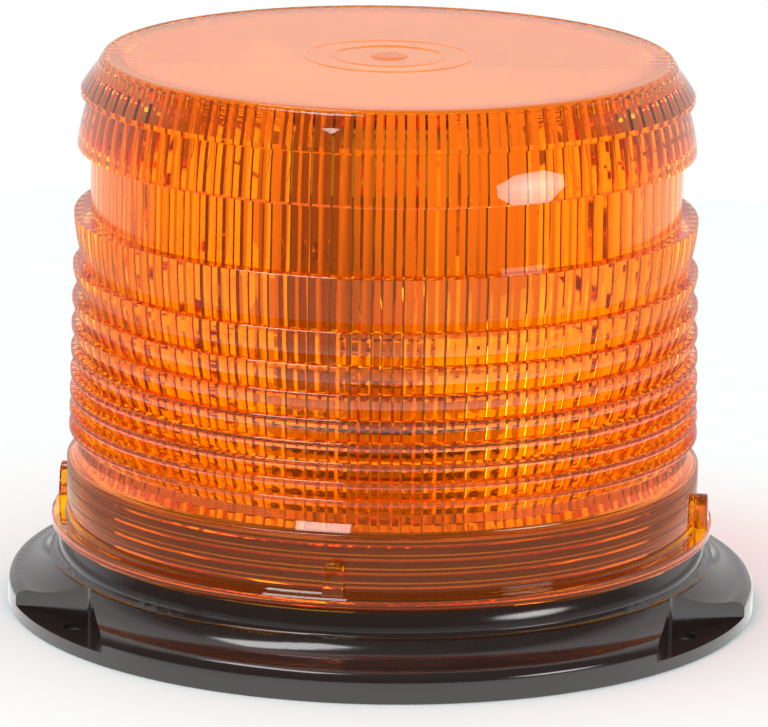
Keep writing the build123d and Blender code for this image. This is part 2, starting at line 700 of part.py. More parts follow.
def gear_face(teeth, addendum):
    """Spur gear outline with involute flanks, one arc through three points for each."""
    pitch_r = MODULE * teeth / 2
    tip_r = pitch_r + addendum
    root_r = pitch_r - DEDENDUM
    start_r = max(root_r, pitch_r * cos(radians(PRESSURE_ANGLE)))
    middle_r = (start_r + tip_r) / 2
    half = {r: involute_half_angle(r, pitch_r, teeth) for r in (start_r, middle_r, tip_r)}

    def spot(r, angle):
        return r * cos(angle), r * sin(angle)

    edges = []
    step = 2 * pi / teeth
    for i in range(teeth):
        mid = i * step
        low, high = mid - half[start_r], mid + half[start_r]
        if start_r > root_r:
            edges.append(Line(spot(root_r, low), spot(start_r, low)))
            edges.append(Line(spot(start_r, high), spot(root_r, high)))
        edges.append(ThreePointArc(spot(start_r, low), spot(middle_r, mid - half[middle_r]),
                                   spot(tip_r, mid - half[tip_r])))
        edges.append(Line(spot(tip_r, mid - half[tip_r]), spot(tip_r, mid + half[tip_r])))
        edges.append(ThreePointArc(spot(tip_r, mid + half[tip_r]), spot(middle_r, mid + half[middle_r]),
                                   spot(start_r, high)))
        edges.append(Line(spot(root_r, high), spot(root_r, mid + step - half[start_r])))
    return make_face(edges)


def make_rotor_gear():
    """Moulded gear: toothed rim, thin web with openings and a tall hub round the bush."""
    gear = Pos(0, 0, GEAR_Z) * extrude(gear_face(GEAR_TEETH, GEAR_ADDENDUM), GEAR_T)
    inside_rim = GEAR_PITCH_R - DEDENDUM - GEAR_RIM
    gear -= tube(inside_rim, HUB_R, GEAR_Z, GEAR_TOP_Z - GEAR_WEB_T)
    gear += bar(HUB_R, HUB_Z, HUB_TOP_Z)
    gear -= bar(BUSH_R + FIT_CLEARANCE, HUB_Z, HUB_TOP_Z)
    for side in (-1, 1):
        hole = bar(ARM_SCREW_R + FIT_CLEARANCE, GEAR_Z, GEAR_TOP_Z, (-arm_foot_x(), side * FOOT_SCREW_Y))
        gear -= reflector_frame() * hole
    return gear


def make_hub_bush():
    return tube(BUSH_R, BUSH_BORE_R, HUB_Z, HUB_TOP_Z)


def make_motor_can():
    can = bar(MOTOR_R, MOTOR_LOW_Z, MOTOR_FACE_Z)
    can = fillet(can.edges().sort_by(Axis.Z)[-1], MOTOR_EDGE_R)
    can += bar(MOTOR_BOSS_R, MOTOR_FACE_Z, MOTOR_FACE_Z + MOTOR_BOSS_H)
    can -= bar(SHAFT_R + RUNNING_CLEARANCE, MOTOR_FACE_Z - SHAFT_DEPTH, MOTOR_FACE_Z + MOTOR_BOSS_H)
    for side in (-1, 1):
        at = (0, side * FACE_SCREW_OFFSET)
        can -= bar(FACE_SCREW_R + FIT_CLEARANCE, MOTOR_FACE_Z - FACE_SCREW_DEPTH, MOTOR_FACE_Z, at)
    return motor_frame() * can


def make_motor_end_cap():
    """Plastic end of the motor with its rear bearing boss and two slots for the tabs."""
    low = MOTOR_LOW_Z - END_CAP_H
    cap = bar(MOTOR_R - END_CAP_STEP, low, MOTOR_LOW_Z)
    cap += bar(END_BOSS_R, low - END_BOSS_H, low)
    for side in (-1, 1):
        cap -= tab_slot(side)
    return motor_frame() * cap


def tab_level():
    return MOTOR_LOW_Z - END_CAP_H / 2


def tab_slot(side):
    """The space that a terminal tab fills inside the end cap, with its fit clearance."""
    half = TAB_T / 2 + FIT_CLEARANCE
    width = TAB_W + 2 * FIT_CLEARANCE
    return slab(MOTOR_R, width, tab_level() - half, tab_level() + half, (MOTOR_R, side * TAB_OFFSET))


def make_motor_tabs():
    inner = MOTOR_R / 2 + FIT_CLEARANCE
    outer = MOTOR_R + TAB_L
    level = tab_level()
    tabs = []
    for side in (-1, 1):
        at = ((inner + outer) / 2, side * TAB_OFFSET)
        tab = slab(outer - inner, TAB_W, level - TAB_T / 2, level + TAB_T / 2, at)
        tab -= bar(TAB_HOLE_R, level - TAB_T, level + TAB_T, (outer - TAB_W / 2, side * TAB_OFFSET))
        tabs.append(motor_frame() * tab)
    return Compound(tabs)


def bracket_half_w():
    return MOTOR_R + BRACKET_GAP + BRACKET_T / 2


def foot_screw_offset():
    """Far enough out for the screw's head to clear the strip's bend."""
    return bracket_half_w() + BRACKET_BEND_R + FOOT_HEAD_R + HEAD_CLEARANCE


def make_motor_bracket():
    """Steel strip bent into a bridge over the motor, with a foot on each side."""
    half = bracket_half_w()
    foot = foot_screw_offset() + FOOT_HEAD_R + HEAD_CLEARANCE
    low = PLATE_TOP_Z + BRACKET_T / 2
    high = BRACKET_TOP_Z - BRACKET_T / 2
    line = FilletPolyline((-foot, low), (-half, low), (-half, high), (half, high), (half, low), (foot, low),
                          radius=BRACKET_BEND_R)
    section = Plane.YZ * trace(line, BRACKET_T)
    strip = extrude(section, BRACKET_W / 2, both=True)
    strip -= bar(MOTOR_BOSS_R + RUNNING_CLEARANCE, MOTOR_FACE_Z - THROUGH, BRACKET_TOP_Z + THROUGH)
    for side in (-1, 1):
        strip -= bar(FACE_SCREW_R + FIT_CLEARANCE, MOTOR_FACE_Z - THROUGH, BRACKET_TOP_Z + THROUGH,
                     (0, side * FACE_SCREW_OFFSET))
        strip -= bar(FOOT_SCREW_R + FIT_CLEARANCE, PLATE_TOP_Z, PLATE_TOP_Z + BRACKET_T,
                     (0, side * foot_screw_offset()))
    return motor_frame() * strip


def make_motor_face_screws():
    screw = pan_screw(FACE_SCREW_R, FACE_HEAD_R, FACE_HEAD_H, BRACKET_TOP_Z,
                      BRACKET_T + FACE_SCREW_DEPTH - END_PLAY)
    return Compound([motor_frame() * Pos(0, side * FACE_SCREW_OFFSET, 0) * screw for side in (-1, 1)])


def make_bracket_screws():
    seat = PLATE_TOP_Z + BRACKET_T
    screw = pan_screw(FOOT_SCREW_R, FOOT_HEAD_R, FOOT_HEAD_H, seat, seat - PLATE_Z + FOOT_NUT_T)
    return Compound([motor_frame() * Pos(0, side * foot_screw_offset(), 0) * screw for side in (-1, 1)])


def make_bracket_nuts():
    face = RegularPolygon(FOOT_NUT_ACROSS / 2, 6, major_radius=False) - Circle(FOOT_SCREW_R + FIT_CLEARANCE)
    nut = Pos(0, 0, PLATE_Z - FOOT_NUT_T) * extrude(face, FOOT_NUT_T)
    return Compound([motor_frame() * Pos(0, side * foot_screw_offset(), 0) * nut for side in (-1, 1)])


def make_motor_shaft():
    top = GEAR_TOP_Z - SHAFT_TOP_INSET
    return motor_frame() * bar(SHAFT_R, MOTOR_FACE_Z - SHAFT_DEPTH + END_PLAY, top)


def make_drive_pinion():
    """Small gear on the motor's shaft, with a gap between teeth facing the large gear."""
    low = GEAR_TOP_Z - PINION_TOP_INSET - PINION_T
    pinion = Pos(0, 0, low) * extrude(gear_face(PINION_TEETH, PINION_ADDENDUM), PINION_T)
    pinion -= bar(SHAFT_R + FIT_CLEARANCE, low, low + PINION_T)
    x, y = polar(MOTOR_AT_R, MOTOR_AZ)
    return Pos(x, y, 0) * Rot(0, 0, MOTOR_AZ + 180.0 / PINION_TEETH) * pinion


# Reflector

def parabola_solid(focal_length, reach, flat_end):
    """Solid bowl turned about the beam's axis, its vertex behind the focus."""
    depth = reach * reach / (4 * focal_length)
    vertex = -focal_length
    curve = Bezier((vertex, 0, 0), (vertex, 0, reach / 2), (vertex + depth, 0, reach))
    ends = Polyline((vertex + depth, 0, reach), (flat_end, 0, reach), (flat_end, 0, 0), (vertex, 0, 0))
    return revolve(make_face([curve, ends]), Axis.X)


def make_reflector_dish():
    """Paraboloid shell cut to a wide, low bowl, with two screw bosses on its back."""
    front = REFLECTOR_HALF_W ** 2 / (4 * FOCAL_LENGTH) - FOCAL_LENGTH
    reach = REFLECTOR_HALF_W + 3 * REFLECTOR_T
    outer = parabola_solid(FOCAL_LENGTH + REFLECTOR_T, reach, reach)
    inner = parabola_solid(FOCAL_LENGTH, reach, reach)
    backs = Part()
    for side in (-1, 1):
        post = Pos(ARM_SEAT_X, 0, side * REFLECTOR_BOSS_Z) * Rot(0, 90, 0)
        backs += post * extrude(Circle(REFLECTOR_BOSS_R), -ARM_SEAT_X)
    dish = outer + backs - inner
    depth = front - ARM_SEAT_X
    window = Box(depth, 2 * REFLECTOR_HALF_W, 2 * REFLECTOR_HALF_H)
    dish = dish & (Pos(front - depth / 2, 0, 0) * window)
    for side in (-1, 1):
        post = Pos(ARM_SEAT_X, 0, side * REFLECTOR_BOSS_Z) * Rot(0, 90, 0)
        dish -= post * extrude(Circle(ARM_SCREW_R + FIT_CLEARANCE), ARM_SCREW_DEPTH)
    return reflector_frame() * Pos(0, 0, FOCUS_Z) * dish


def arm_foot_x():
    return (ARM_FOOT_R - ARM_SEAT_X) / 2


def make_reflector_arm():
    """Bent steel strip: its foot lies on the gear and its upright carries the dish."""
    foot_z = GEAR_TOP_Z + ARM_T / 2
    back_x = ARM_SEAT_X - ARM_T / 2
    top = FOCUS_Z + REFLECTOR_BOSS_Z + REFLECTOR_BOSS_R + ARM_TOP_MARGIN
    line = FilletPolyline((-ARM_FOOT_R, foot_z), (back_x, foot_z), (back_x, top), radius=ARM_BEND_R)
    arm = extrude(Plane.XZ * trace(line, ARM_T), ARM_W / 2, both=True)
    for side in (-1, 1):
        arm -= bar(ARM_SCREW_R + FIT_CLEARANCE, GEAR_TOP_Z - THROUGH, GEAR_TOP_Z + ARM_T + THROUGH,
                   (-arm_foot_x(), side * FOOT_SCREW_Y))
        hole = Pos(ARM_SEAT_X - ARM_T - THROUGH, 0, FOCUS_Z + side * REFLECTOR_BOSS_Z) * Rot(0, 90, 0)
        arm -= hole * extrude(Circle(ARM_SCREW_R + FIT_CLEARANCE), ARM_T + 2 * THROUGH)
    return reflector_frame() * arm


def make_dish_screws():
    """Two screws from behind the arm into the dish's bosses."""
    screw = pan_screw(ARM_SCREW_R, ARM_HEAD_R, ARM_HEAD_H, 0, ARM_T + ARM_SCREW_DEPTH - END_PLAY)
    spots = []
    for side in (-1, 1):
        place = Pos(ARM_SEAT_X - ARM_T, 0, FOCUS_Z + side * REFLECTOR_BOSS_Z) * Rot(0, -90, 0)
        spots.append(reflector_frame() * place * screw)
    return Compound(spots)


def make_arm_screws():
    """Two screws through the arm's foot into the gear's web."""
    seat = GEAR_TOP_Z + ARM_T
    screw = pan_screw(ARM_SCREW_R, ARM_HEAD_R, ARM_HEAD_H, seat, ARM_T + GEAR_WEB_T)
    places = [Pos(-arm_foot_x(), side * FOOT_SCREW_Y, 0) for side in (-1, 1)]
    return Compound([reflector_frame() * place * screw for place in places])


# Electrical pieces

def make_cable_grommet():
    """Rubber bush in the floor of the base, where the supply cable leaves downwards."""
    groove = OUTLET_R - RUNNING_CLEARANCE
    profile = [(CABLE_R, 0), (groove, 0), (groove, FLOOR_T), (OUTLET_LIP_R, FLOOR_T),
               (OUTLET_LIP_R - OUTLET_LIP_CHAMFER, FLOOR_T + OUTLET_LIP_T), (CABLE_R, FLOOR_T + OUTLET_LIP_T)]
    return turned(path(profile + profile[:1]))


def terminal_frame():
    x, y = polar(TERMINAL_AT_R, TERMINAL_AZ)
    return Pos(x, y, 0) * Rot(0, 0, TERMINAL_AZ + 90)


def make_terminal_block():
    """Two-way connector block on the plate with a screw well over each way."""
    high = PLATE_TOP_Z + TERMINAL_H
    block = slab(TERMINAL_L, TERMINAL_W, PLATE_TOP_Z, high)
    block = fillet(block.edges().filter_by(Axis.X).group_by(Axis.Z)[-1], TERMINAL_EDGE_R)
    for side in (-1, 1):
        at = (side * TERMINAL_PITCH / 2, 0)
        block -= bar(TERMINAL_SCREW_R + 2 * FIT_CLEARANCE, high - TERMINAL_WELL_H, high, at)
        way = Pos(at[0], -TERMINAL_W, PLATE_TOP_Z + WAY_H) * Rot(-90, 0, 0)
        block -= way * extrude(Circle(WAY_R), 2 * TERMINAL_W)
    block -= slab(WAY_SPLIT_W, TERMINAL_W, high - WAY_SPLIT_H, high)
    return terminal_frame() * block


def make_terminal_screws():
    high = PLATE_TOP_Z + TERMINAL_H
    low = high - TERMINAL_WELL_H
    top = low + TERMINAL_SCREW_H
    screw = bar(TERMINAL_SCREW_R, low, top)
    screw -= slab(2 * TERMINAL_SCREW_R, DRIVER_SLOT_W, top - DRIVER_SLOT_H, top)
    places = [terminal_frame() * Pos(side * TERMINAL_PITCH / 2, 0, 0) for side in (-1, 1)]
    return Compound([place * screw for place in places])


PIECES = {
    "base_housing": make_base_housing,
    "lens_seal": make_lens_seal,
    "lens_dome": make_lens_dome,
    "chassis_plate": make_chassis_plate,
    "vibration_grommets": make_vibration_grommets,
    "grommet_sleeves": make_grommet_sleeves,
    "chassis_washers": make_chassis_washers,
    "chassis_screws": make_chassis_screws,
    "centre_pillar": make_centre_pillar,
    "pillar_rivets": make_pillar_rivets,
    "thrust_washer": make_thrust_washer,
    "retaining_clip": make_retaining_clip,
    "lamp_holder": make_lamp_holder,
    "lamp_base": make_lamp_base,
    "lamp_glass": make_lamp_glass,
    "lamp_filament": make_lamp_filament,
    "lamp_clip": make_lamp_clip,
    "rotor_gear": make_rotor_gear,
    "hub_bush": make_hub_bush,
    "motor_can": make_motor_can,
    "motor_end_cap": make_motor_end_cap,
    "motor_tabs": make_motor_tabs,
    "motor_bracket": make_motor_bracket,
    "motor_face_screws": make_motor_face_screws,
    "bracket_screws": make_bracket_screws,
    "bracket_nuts": make_bracket_nuts,
    "motor_shaft": make_motor_shaft,
    "drive_pinion": make_drive_pinion,
    "reflector_dish": make_reflector_dish,
    "reflector_arm": make_reflector_arm,
    "dish_screws": make_dish_screws,
    "arm_screws": make_arm_screws,
    "cable_grommet": make_cable_grommet,
    "terminal_block": make_terminal_block,
    "terminal_screws": make_terminal_screws,
}

os.makedirs("parts", exist_ok=True)
for name, make in PIECES.items():
    export_step(make(), f"parts/{name}.step")
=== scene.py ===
# %% [markdown]
# # A rotating beacon
# The beacon is an amber lens screwed to a black moulded base. The lens is clear plastic with Fresnel rings
# outside and upright flutes inside, and a lamp, a reflector and a small gear drive sit within it. The packed
# model gives every piece its real place and size, so this lesson loads it first and dresses it.

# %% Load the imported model
import json
from math import atan2, cos, pi, radians, sin, sqrt

import bmesh
import bpy
from mathutils import Matrix, Vector

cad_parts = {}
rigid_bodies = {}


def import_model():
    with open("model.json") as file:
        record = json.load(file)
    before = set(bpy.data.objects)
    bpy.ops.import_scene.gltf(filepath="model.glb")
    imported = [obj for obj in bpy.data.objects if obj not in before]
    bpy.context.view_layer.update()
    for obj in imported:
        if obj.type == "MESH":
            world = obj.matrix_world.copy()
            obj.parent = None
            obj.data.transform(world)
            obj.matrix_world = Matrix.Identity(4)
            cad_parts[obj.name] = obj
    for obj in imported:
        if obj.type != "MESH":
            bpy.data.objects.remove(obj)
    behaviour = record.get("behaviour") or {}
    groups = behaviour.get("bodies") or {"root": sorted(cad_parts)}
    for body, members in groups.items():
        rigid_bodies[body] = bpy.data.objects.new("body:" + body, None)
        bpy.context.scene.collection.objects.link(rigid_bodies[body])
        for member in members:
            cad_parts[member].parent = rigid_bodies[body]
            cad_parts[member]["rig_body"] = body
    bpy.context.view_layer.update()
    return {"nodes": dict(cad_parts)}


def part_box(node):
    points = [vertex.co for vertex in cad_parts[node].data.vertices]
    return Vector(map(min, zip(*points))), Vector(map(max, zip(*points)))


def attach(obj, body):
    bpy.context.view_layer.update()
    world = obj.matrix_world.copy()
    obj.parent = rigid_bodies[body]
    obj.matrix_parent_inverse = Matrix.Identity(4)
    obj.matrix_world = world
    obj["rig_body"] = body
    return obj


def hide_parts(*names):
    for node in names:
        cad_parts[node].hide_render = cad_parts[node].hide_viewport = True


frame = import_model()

MM = 0.001

# %% [markdown]
# ## Camera
# The photograph was taken from well back with a long lens, so the circles of the base are flat ellipses.
# A camera fitted to those circles stands 1.4 m away and looks 14 degrees down, with a slight roll.

# %% Camera
CAMERA_AT = Vector((0.0, -1.37545, 0.39435))
CAMERA_TILT = radians(90.0 - 13.6805)
CAMERA_ROLL = radians(0.9186)
FOCAL_MM = 267.76

camera_data = bpy.data.cameras.new("camera")
camera_data.lens = FOCAL_MM
camera_data.sensor_width = 36.0
camera = bpy.data.objects.new("camera", camera_data)
bpy.context.scene.collection.objects.link(camera)
turn = Matrix.Rotation(CAMERA_TILT, 3, "X") @ Matrix.Rotation(CAMERA_ROLL, 3, "Z")
camera.matrix_world = Matrix.Translation(CAMERA_AT) @ turn.to_4x4()
bpy.context.scene.camera = camera
bpy.context.scene.view_settings.view_transform = "Standard"
print("camera looks down by", round(90.0 - CAMERA_TILT / radians(1.0), 1), "degrees")

# %% [markdown]
# ## Helpers for node trees and meshes
# A material is a tree of nodes. One helper adds a node, sets its options and either links or sets its
# inputs, which keeps each material short enough to read. A second one turns a bmesh into an object.


# %% Helpers
def add(tree, kind, inputs=None, **options):
    """Adds a shader node; an input is a socket to link or a value to set."""
    made = tree.nodes.new("ShaderNode" + kind)
    for name, value in options.items():
        setattr(made, name, value)
    for socket, value in (inputs or {}).items():
        if isinstance(value, bpy.types.NodeSocket):
            tree.links.new(value, made.inputs[socket])
        else:
            made.inputs[socket].default_value = value
    return made


def empty_material(name):
    material = bpy.data.materials.new(name)
    material.use_nodes = True
    material.node_tree.nodes.clear()
    return material, material.node_tree


def calculate(tree, operation, first, second=0.0):
    return add(tree, "Math", {0: first, 1: second}, operation=operation).outputs[0]


def remap(tree, value, low, high, new_low=0.0, new_high=1.0):
    """Stretches a value between two limits onto two others, and holds it there."""
    settings = {"Value": value, "From Min": low, "From Max": high, "To Min": new_low, "To Max": new_high}
    return add(tree, "MapRange", settings).outputs[0]


def blend(tree, factor, first, second):
    """Mixes two colours; either may be a socket or four numbers."""
    return add(tree, "Mix", {0: factor, 6: first, 7: second}, data_type="RGBA").outputs[2]


def new_object(name, bm, body=None):
    """Writes a bmesh to a new object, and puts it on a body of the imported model."""
    mesh = bpy.data.meshes.new(name)
    bm.to_mesh(mesh)
    bm.free()
    made = bpy.data.objects.new(name, mesh)
    bpy.context.scene.collection.objects.link(made)
    if body:
        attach(made, body)
    return made


def finish_shading(piece, material, sharp_degrees=30.0):
    """Gives a piece its material, and smooth shading up to the angle of a real edge."""
    piece.data.materials.clear()
    piece.data.materials.append(material)
    piece.data.polygons.foreach_set("use_smooth", [True] * len(piece.data.polygons))
    piece.data.set_sharp_from_angle(angle=radians(sharp_degrees))
    return piece


print("helpers ready")

# %% [markdown]
# ## Studio
# The beacon stands in front of a white backdrop, in a room that is dim on the camera's side. Clear plastic
# shows both, mirrored and through its walls. A photographer balances those with cards and flags. Here the
# kind of ray decides instead: the camera sees plain white, mirrored rays a dimmer backdrop, rays through
# the lens a brighter one, and all other rays an even fill that is a little stronger from behind.

# %% World
BACKDROP_WHITE = 1.0
BACKDROP_MIRRORED = 0.8
BACKDROP_THROUGH_LENS = 2.6
ROOM_MIRRORED = 0.12
ROOM_THROUGH_LENS = 0.15
FILL_FRONT = 1.15
FILL_BEHIND = 1.25
FILL_FROM = (-0.45, 0.55, 0.70)

world = bpy.data.worlds.new("studio")
world.use_nodes = True
bpy.context.scene.world = world
tree = world.node_tree
tree.nodes.clear()
direction = add(tree, "TexCoord").outputs["Generated"]
flat = add(tree, "VectorMath", {0: direction, 1: (1, 1, 0)}, operation="MULTIPLY").outputs[0]
flat = add(tree, "VectorMath", {0: flat}, operation="NORMALIZE").outputs[0]
behind = remap(tree, add(tree, "SeparateXYZ", {0: flat}).outputs["Y"], 0.1, 0.5)
lit = add(tree, "VectorMath", {0: direction, 1: FILL_FROM}, operation="DOT_PRODUCT").outputs["Value"]
fill = remap(tree, lit, -0.4, 0.9, FILL_FRONT, FILL_BEHIND)
rays = add(tree, "LightPath").outputs
mirrored = remap(tree, behind, 0.0, 1.0, ROOM_MIRRORED, BACKDROP_MIRRORED)
through = remap(tree, behind, 0.0, 1.0, ROOM_THROUGH_LENS, BACKDROP_THROUGH_LENS)
level = add(tree, "Mix", {"Factor": rays["Is Glossy Ray"], "A": fill, "B": mirrored}).outputs[0]
level = add(tree, "Mix", {"Factor": rays["Is Transmission Ray"], "A": level, "B": through}).outputs[0]
level = add(tree, "Mix", {"Factor": rays["Is Camera Ray"], "A": level, "B": BACKDROP_WHITE}).outputs[0]
background = add(tree, "Background", {"Color": (1, 1, 1, 1), "Strength": level})
add(tree, "OutputWorld", {"Surface": background.outputs[0]})
print("world ready")

# %% [markdown]
# ## Table
# A white disc catches the soft shadow. It fades into the backdrop, so it is a little less white than paper
# and slightly cool, which evens out the amber light that falls through the lens. The glossy base and the
# skirt mirror it, but what they mirror is a painted reflection: a glow that only mirrored rays see, painted
# bright near the beacon and dim further out, in place of the table's own lit face.

# %% Table
TABLE_R = 0.495
TABLE_DROP = 0.0002
TABLE_GLOW = 0.01
TABLE_WHITE = (0.70, 0.745, 0.75, 1.0)
# Glow levels of the painted reflection, near the beacon and further out.
PAINTED_REFLECTION_NEAR = 1.4
PAINTED_REFLECTION_FAR = 0.40
NEAR_R = 0.105
FAR_R = 0.16

bm = bmesh.new()
bmesh.ops.create_circle(bm, cap_ends=True, segments=128, radius=TABLE_R)
bmesh.ops.translate(bm, verts=bm.verts, vec=(0, 0, -TABLE_DROP))
table = new_object("table_top", bm)
material, tree = empty_material("white_table")
rays = add(tree, "LightPath").outputs
seen = calculate(tree, "MAXIMUM", rays["Is Camera Ray"], rays["Is Transmission Ray"])
glow = add(tree, "Emission", {"Strength": calculate(tree, "MULTIPLY", seen, TABLE_GLOW)})
paint = add(tree, "BsdfDiffuse", {"Color": TABLE_WHITE})
lit_top = add(tree, "AddShader", {0: glow.outputs[0], 1: paint.outputs[0]})
spot = add(tree, "TexCoord").outputs["Object"]
out = add(tree, "VectorMath", {0: spot}, operation="LENGTH").outputs["Value"]
# Painted reflection: a glow seen only by mirrored rays, strong near the beacon and weak further out.
painted_reflection_glow = remap(tree, out, NEAR_R, FAR_R, PAINTED_REFLECTION_NEAR, PAINTED_REFLECTION_FAR)
mirrored = add(tree, "Emission", {"Strength": painted_reflection_glow})
both = add(tree, "MixShader", {0: rays["Is Glossy Ray"], 1: lit_top.outputs[0], 2: mirrored.outputs[0]})
add(tree, "OutputMaterial", {"Surface": both.outputs[0]})
table.data.materials.append(material)
print("table of radius", TABLE_R, "m")

# %% [markdown]
# ## Softboxes
# Two softboxes give the highlights: a wide one high on the left, which draws thin lines along the edges,
# and an octagonal one low on the right, whose image lies on the lens. Each is a flat glowing panel that the
# camera itself doesn't see. The octagon's lamp stands close behind its cloth, so its middle is brighter.

# %% Softboxes
AIM = Vector((0.0, 0.0, 0.07))
EVEN_FROM = 0.45


def softbox(name, azimuth, elevation, distance, width, height, radiance, sides, core=1.0):
    """A flat glowing panel that faces the object; core brightens its middle."""
    bm = bmesh.new()
    bmesh.ops.create_circle(bm, cap_ends=True, segments=sides, radius=0.5)
    bmesh.ops.rotate(bm, verts=bm.verts, matrix=Matrix.Rotation(pi / sides, 3, "Z"))
    panel = new_object(name, bm)
    a, e = radians(azimuth), radians(elevation)
    way = Vector((sin(a) * cos(e), -cos(a) * cos(e), sin(e)))
    facing = way.to_track_quat("Z", "Y").to_matrix().to_4x4()
    size = Matrix.Diagonal((width, height, 1, 1))
    panel.matrix_world = Matrix.Translation(AIM + way * distance) @ facing @ size
    material, tree = empty_material(name)
    from_middle = add(tree, "VectorMath", {0: add(tree, "TexCoord").outputs["Object"]}, operation="LENGTH")
    fall = remap(tree, from_middle.outputs["Value"], 0.0, EVEN_FROM, core * radiance, radiance)
    glow = add(tree, "Emission", {"Strength": fall})
    add(tree, "OutputMaterial", {"Surface": glow.outputs[0]})
    panel.data.materials.append(material)
    panel.visible_camera = False
    return panel


softbox("right_softbox", azimuth=53.0, elevation=8.4, distance=1.25, width=0.64, height=0.32,
        radiance=5.0, sides=8, core=2.0)
softbox("left_softbox", azimuth=-60.0, elevation=67.0, distance=1.3, width=1.10, height=0.40,
        radiance=7.0, sides=4)
print("softboxes ready")

# %% [markdown]
# ## The lens
# The real lens is one injection moulding. Its outside is a stack of Fresnel rings, which pull the light of
# the lamp level, and its inside has 90 upright ribs, which spread it sideways. All of it except the ribs
# and the grip lugs is round, so it could be a cylinder that is cut and pushed about ring by ring. A half
# section is easier to read: a list of (radius, height) points in millimetres, spun round the axis.

# %% Sizes of the lens, in millimetres
LENS_LOW, LENS_TOP = (corner.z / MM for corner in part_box("lens_dome"))
FLANGE_R = 82.1
FLANGE_T = 2.7
SKIRT_R = 78.4
SKIRT_BORE_R = 75.6
SKIRT_TOP = LENS_LOW + 17.0
WAIST_R = 75.5
RING_R = 76.8
RING_DRAFT = 0.0205
RING_HEIGHTS = (13.0, 8.2, 6.7, 6.2, 5.5, 4.8, 4.6, 4.4, 2.6)
RING_LAND = 1.1
RING_ROOT_IN = 2.7
BAND_R = 72.7
BAND_H = 17.7
FLUTES = 90
COLUMNS_PER_FLUTE = 7
LAND_COLUMNS = 2
FLUTE_DEPTH = 0.8
LUGS = 4
FIRST_LUG_AZ = -98.0
LUG_WIDTH = 5.2
LUG_H = 8.3
LUG_PROUD = 3.2
LUG_LEAN = 0.4
LUG_ROOT = 1.0
BORE_LOW_R = 72.4
BORE_TOP_R = 69.4
TOP_T = 2.4
TOP_EDGE_T = 1.2
EDGE = 0.14
print("lens from", round(LENS_LOW, 1), "to", round(LENS_TOP, 1), "mm")

# %% [markdown]
# ## Half section of the lens
# The outside climbs from the flange over the skirt and nine rings to a plain band, and from there over a
# collar and a sloping rim to the top. A mould can't be cut perfectly sharp, so each ring's tip gets small
# facets, and faces that only look flat are shallow arcs, which stretch the highlights as on the real lens.
# The top has the marks of the gate where the plastic flowed in: two low ridges round a small nub.


# %% Half section of the lens
COLLAR_LOW_R = 76.0
COLLAR_TOP_R = 73.1
COLLAR_H = 12.6
RIM_R = 75.25
RIM_H = 7.2
CHAMFER_R = 71.1
CHAMFER_TOP_R = 70.3
DISC_EDGE_R = 69.0
DISC_R = 68.5
DISC_SUNK = 0.25
RIDGE_SUNK = 0.05
WELL_SUNK = 0.3
NUB_R = 4.3
RING_BULGE = -0.032
THREAD_PITCH = 3.4
RIDGE_H = 0.75
INNER_ROWS = 9


def curve(start, end, bulge, steps):
    """Points after start on a shallow arc to end; bulge is how far its middle stands out."""
    (r0, z0), (r1, z1) = start, end
    length = sqrt((r1 - r0) ** 2 + (z1 - z0) ** 2)
    out_r, out_z = -(z1 - z0) / length, (r1 - r0) / length
    points = []
    for i in range(1, steps + 1):
        t = i / steps
        rise = 4.0 * bulge * t * (1.0 - t)
        points.append((r0 + (r1 - r0) * t + out_r * rise, z0 + (z1 - z0) * t + out_z * rise))
    return points


def eased(points):
    """Cuts each corner back by a small facet, which is what a polished mould leaves."""
    result = [points[0]]
    for before, at, after in zip(points, points[1:], points[2:]):
        arms = []
        for other in (before, after):
            length = sqrt((other[0] - at[0]) ** 2 + (other[1] - at[1]) ** 2)
            share = min(EDGE, length * 0.4) / length
            arms.append((at[0] + (other[0] - at[0]) * share, at[1] + (other[1] - at[1]) * share))
        result += arms
    return result + [points[-1]]


def ring_tip_r(level, first):
    return RING_R + (first - level) * RING_DRAFT


def lens_outside():
    """The outside from the middle of the top down to the underside of the flange."""
    flange_top = LENS_LOW + FLANGE_T
    waist = SKIRT_TOP + 2.8
    level = waist + 2.0
    first = level + sum(RING_HEIGHTS)
    points = [(FLANGE_R - 0.5, LENS_LOW), (FLANGE_R, LENS_LOW + 0.5), (FLANGE_R, flange_top - 0.4),
              (FLANGE_R - 0.4, flange_top), (SKIRT_R + 0.4, flange_top), (SKIRT_R, flange_top + 0.4),
              (SKIRT_R, SKIRT_TOP - 0.3)]
    points += curve(points[-1], (SKIRT_R - 0.9, SKIRT_TOP + 0.6), 0.26, 5)
    points.append((WAIST_R + 0.2, waist - 0.2))
    foot = (WAIST_R, level)
    points.append(foot)
    for height in reversed(RING_HEIGHTS):
        level += height
        tip = (ring_tip_r(level, first), level)
        face = curve(foot, tip, RING_BULGE * height, 4)
        if foot[0] < WAIST_R:
            points.append(foot)
        foot = (tip[0] - RING_ROOT_IN, level + RING_LAND)
        points += face[:-1] + eased([face[-2], tip, (tip[0], level + RING_LAND), foot])[1:-1]
    points += band_and_rim(first)
    points += gate_marks()
    return points[::-1]


def band_and_rim(first):
    """The plain band above the first ring, the collar, and the rim up to the edge of the disc."""
    band_top = first + BAND_H
    collar = (COLLAR_LOW_R, band_top + 0.2)
    rim_low = band_top + COLLAR_H
    points = [(BAND_R, first + RING_LAND), (BAND_R, band_top), (COLLAR_LOW_R - 0.1, band_top), collar]
    points += curve(collar, (COLLAR_TOP_R, rim_low), -0.42, 5)
    points += [(RIM_R - 0.15, rim_low), (RIM_R, rim_low + 0.15), (RIM_R, rim_low + 1.4)]
    points += curve(points[-1], (CHAMFER_R, rim_low + RIM_H), -0.12, 3)
    points += curve(points[-1], (CHAMFER_TOP_R, LENS_TOP - 1.1), -0.15, 3)
    return points + curve(points[-1], (DISC_EDGE_R, LENS_TOP), -0.36, 6)


